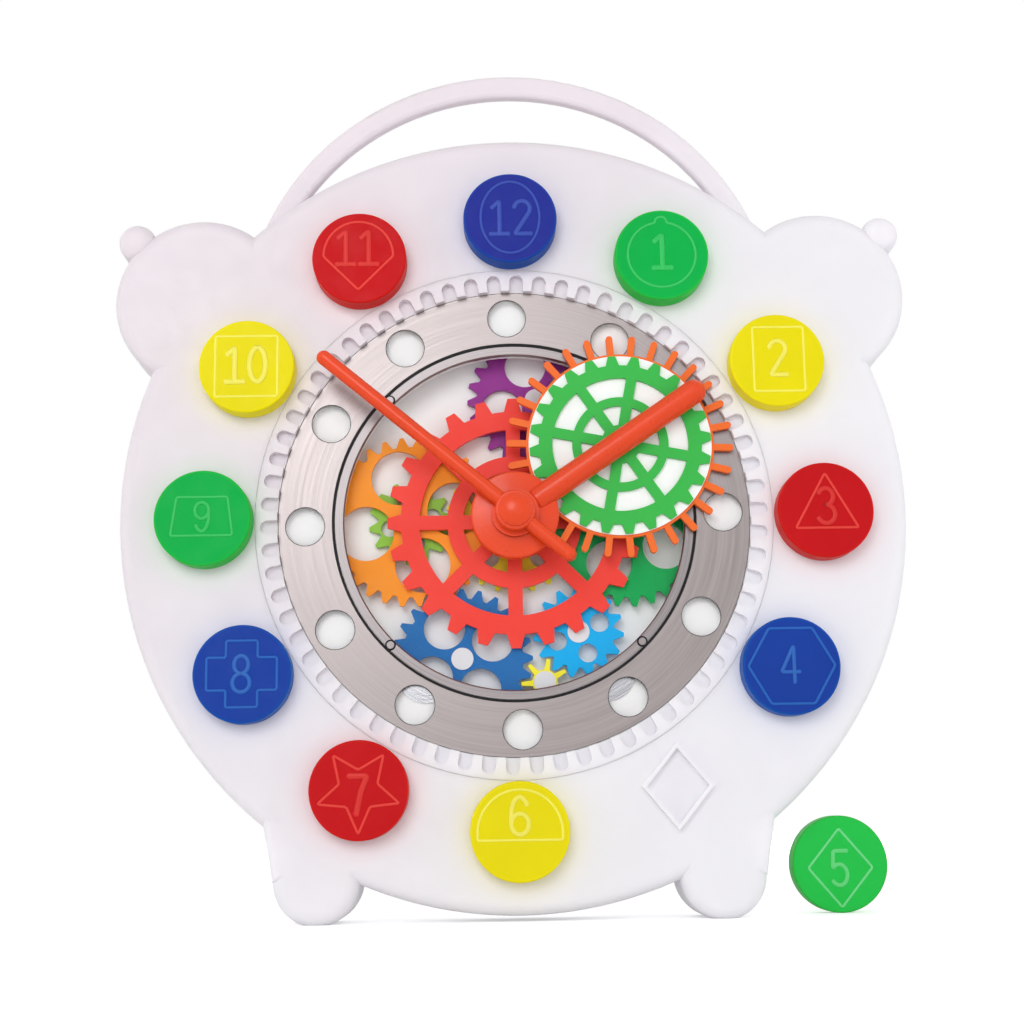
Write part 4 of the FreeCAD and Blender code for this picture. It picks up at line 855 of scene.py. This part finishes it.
def join_trim(name, parts, body, material):
    """Joins the parts, applies their places and gives them their body and finish."""
    pick(*parts)
    if len(parts) > 1:
        bpy.ops.object.join()
    joined = bpy.context.object
    joined.name = name
    bpy.ops.object.transform_apply(location=True, rotation=True, scale=True)
    bpy.ops.object.shade_smooth()
    joined.data.materials.clear()
    joined.data.materials.append(material)
    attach(joined, body)
    print(name, "faces:", len(joined.data.polygons))


print("a trim ring is pressed to", RING_PRESS, "of its width")

# %% [markdown]
# ### Painted shade at the holes and round the rivets
#
# The twelve holes are evenly spaced on a circle in the steel ring, turned back by just over a
# degree. The four rivets stand at the corners of their own box, one radius in from each side. Each
# ring lies on the front of the metal, so half of its thickness shows.

# %% Rings round the holes and rivets
HOLE_CIRCLE, HOLE_RADIUS, HOLE_TURN, HOLE_COUNT = 0.0796, 0.00745, -1.3, 12
HOLE_SHADE_WIDTH = 0.00028
RIVET_RADIUS, SHADE_RING_GAP, SHADE_RING_WIDTH = 0.0014, 0.0002, 0.0009

steel_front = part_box("steel_ring")[0].y
# Dark rings of painted shade at the edges of the holes.
hole_shade_rings = []
for index in range(HOLE_COUNT):
    bearing_angle = math.radians(HOLE_TURN + index * 360 / HOLE_COUNT)
    hole_shade_rings.append(thin_ring(HOLE_CIRCLE * math.sin(bearing_angle), steel_front,
                                AXIS_HEIGHT + HOLE_CIRCLE * math.cos(bearing_angle),
                                HOLE_RADIUS, HOLE_SHADE_WIDTH))
join_trim("steel_hole_shade", hole_shade_rings, "case", edge_shade_steel)

rivets_low, rivets_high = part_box("bezel_rivets")
bezel_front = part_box("window_bezel")[0].y
# Dark rings of painted shade round the rivets, in the black rubber finish of the gasket.
rivet_shade_parts = [thin_ring(side_x, bezel_front, side_z, RIVET_RADIUS + SHADE_RING_GAP, SHADE_RING_WIDTH)
           for side_x in (rivets_low.x + RIVET_RADIUS, rivets_high.x - RIVET_RADIUS)
           for side_z in (rivets_low.z + RIVET_RADIUS, rivets_high.z - RIVET_RADIUS)]
join_trim("rivet_shade_rings", rivet_shade_parts, "case", rubber)

# %% [markdown]
# ### Root of the hour hand
#
# The rod of the hour hand starts square on its hub. On the toy the moulding flows from one to the
# other, so a low rounded end is laid against the rod. It starts as a ball as wide as the rod. A
# bisect takes off the half that would lie in the rod, and the rest is pressed short, because the
# minute hand's hub turns close by.

# %% Rounded root
ROD_RADIUS, ROD_START, ROOT_LENGTH = 0.0047, 0.010, 0.0022
ROOT_CUT = 0.0002
HOUR_TURN = math.radians(55.83)

deselect()
bpy.ops.mesh.primitive_uv_sphere_add(segments=48, ring_count=24, radius=ROD_RADIUS)
bpy.ops.object.mode_set(mode="EDIT")
bpy.ops.mesh.select_all(action="SELECT")
bpy.ops.mesh.bisect(plane_co=(0, 0, ROOT_CUT), plane_no=(0, 0, 1), use_fill=True,
                    clear_outer=True)
bpy.ops.mesh.select_all(action="SELECT")
bpy.ops.mesh.normals_make_consistent(inside=False)
bpy.ops.object.mode_set(mode="OBJECT")
root = bpy.context.object
root.scale.z = ROOT_LENGTH / ROD_RADIUS
root.rotation_euler = (0.0, HOUR_TURN, 0.0)
root.location = (ROD_START * math.sin(HOUR_TURN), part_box("hour_hand")[0].y + ROD_RADIUS,
                 AXIS_HEIGHT + ROD_START * math.cos(HOUR_TURN))
join_trim("hour_hand_root", [root], "hour", hand_red)

# %% [markdown]
# ## Floor, background and light
#
# The photograph has a pure white background. The floor is a pale plane that takes the clock's
# shadow. To the camera it also glows a little, and more so away from the clock, so that it meets
# the white background with no line. Through the Light Path node the world is white to the camera,
# in reflections and through clear parts, and otherwise gives a soft, even light of about half that.

# %% Floor and world
FLOOR_SIZE, WORLD_LIGHT = 6.0, 0.48

bpy.ops.mesh.primitive_plane_add(size=FLOOR_SIZE, location=(0.0, 0.0, 0.0))
floor = bpy.context.object
floor.name = "floor"
pale, tree, shader = new_material("pale floor", Roughness=0.9)
shader.inputs["Base Color"].default_value = screen_colour(250, 250, 250)
from_clock = add_node(tree, "ShaderNodeVectorMath", operation="LENGTH")
put(tree, from_clock.inputs[0], object_place(tree))
glow = spread(tree, from_clock.outputs["Value"], low=0.35, high=1.1, new_low=0.4, new_high=0.75)
floor_rays = add_node(tree, "ShaderNodeLightPath")
glow_seen = sum_up(tree, "MULTIPLY", glow, floor_rays.outputs["Is Camera Ray"])
put(tree, shader.inputs["Emission Color"], blend_colours(tree, glow_seen, BLACK, WHITE))
shader.inputs["Emission Strength"].default_value = 1.0
floor.data.materials.append(pale)
floor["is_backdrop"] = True

world = bpy.data.worlds.new("studio")
bpy.context.scene.world = world
world.use_nodes = True
sky = world.node_tree
backdrop = sky.nodes["Background"]
backdrop.inputs["Color"].default_value = WHITE
rays = add_node(sky, "ShaderNodeLightPath")
seen_or_mirrored = sum_up(sky, "MAXIMUM", rays.outputs["Is Camera Ray"],
                          rays.outputs["Is Glossy Ray"])
seen_plainly = sum_up(sky, "MAXIMUM", seen_or_mirrored, rays.outputs["Is Transmission Ray"])
put(sky, backdrop.inputs["Strength"],
    sum_up(sky, "MULTIPLY_ADD", seen_plainly, 1.0 - WORLD_LIGHT, WORLD_LIGHT))
print("floor and world ready")

# %% [markdown]
# ### Lamps
#
# A soft lamp from the upper left and one from the front reach in through the window and give the
# hands and gears their gentle shading. One at each side keeps the rounded edges of the case as
# light as its face, and one behind lights the rear cover. Only the first is seen in reflections,
# where it gives the highlights on the hands and the light sweep on the steel.

# %% Soft lamps
def soft_lamp(name, place, size, power, mirrored=False):
    """A round lamp turned to the middle of the clock. Its power is in watts."""
    bpy.ops.object.light_add(type="AREA", location=place)
    lamp = bpy.context.object
    lamp.name = name
    to_clock = Vector((0.0, 0.0, AXIS_HEIGHT)) - Vector(place)
    lamp.rotation_euler = to_clock.to_track_quat("-Z", "Y").to_euler()
    lamp.data.shape = "DISK"
    lamp.data.size = size
    lamp.data.energy = power
    lamp.visible_glossy = mirrored


soft_lamp("key_lamp", (-0.4, -1.5, 0.7), size=0.9, power=8.6, mirrored=True)
soft_lamp("fill_lamp", (0.35, -1.6, 0.25), size=1.2, power=4.4)
soft_lamp("left_lamp", (-1.5, -0.25, 0.35), size=1.0, power=4.5)
soft_lamp("right_lamp", (1.5, -0.25, 0.35), size=1.0, power=4.5)
soft_lamp("back_lamp", (0.5, 1.6, 0.5), size=1.6, power=9.0)
bpy.context.scene.view_settings.view_transform = "Standard"
print("lamps:", len(bpy.data.lights))

# %% [markdown]
# ## Sizes
#
# The growth of the dressed clock over the box of the CAD is measured. The dressed clock
# must stay in the box of the CAD.

# %% Print the growth over the CAD box
final_low, final_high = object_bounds()
grown = max((final_high - final_low)[side] - (cad_high - cad_low)[side] for side in range(3))
print("largest growth over the CAD box, mm:", round(1000 * grown, 2))
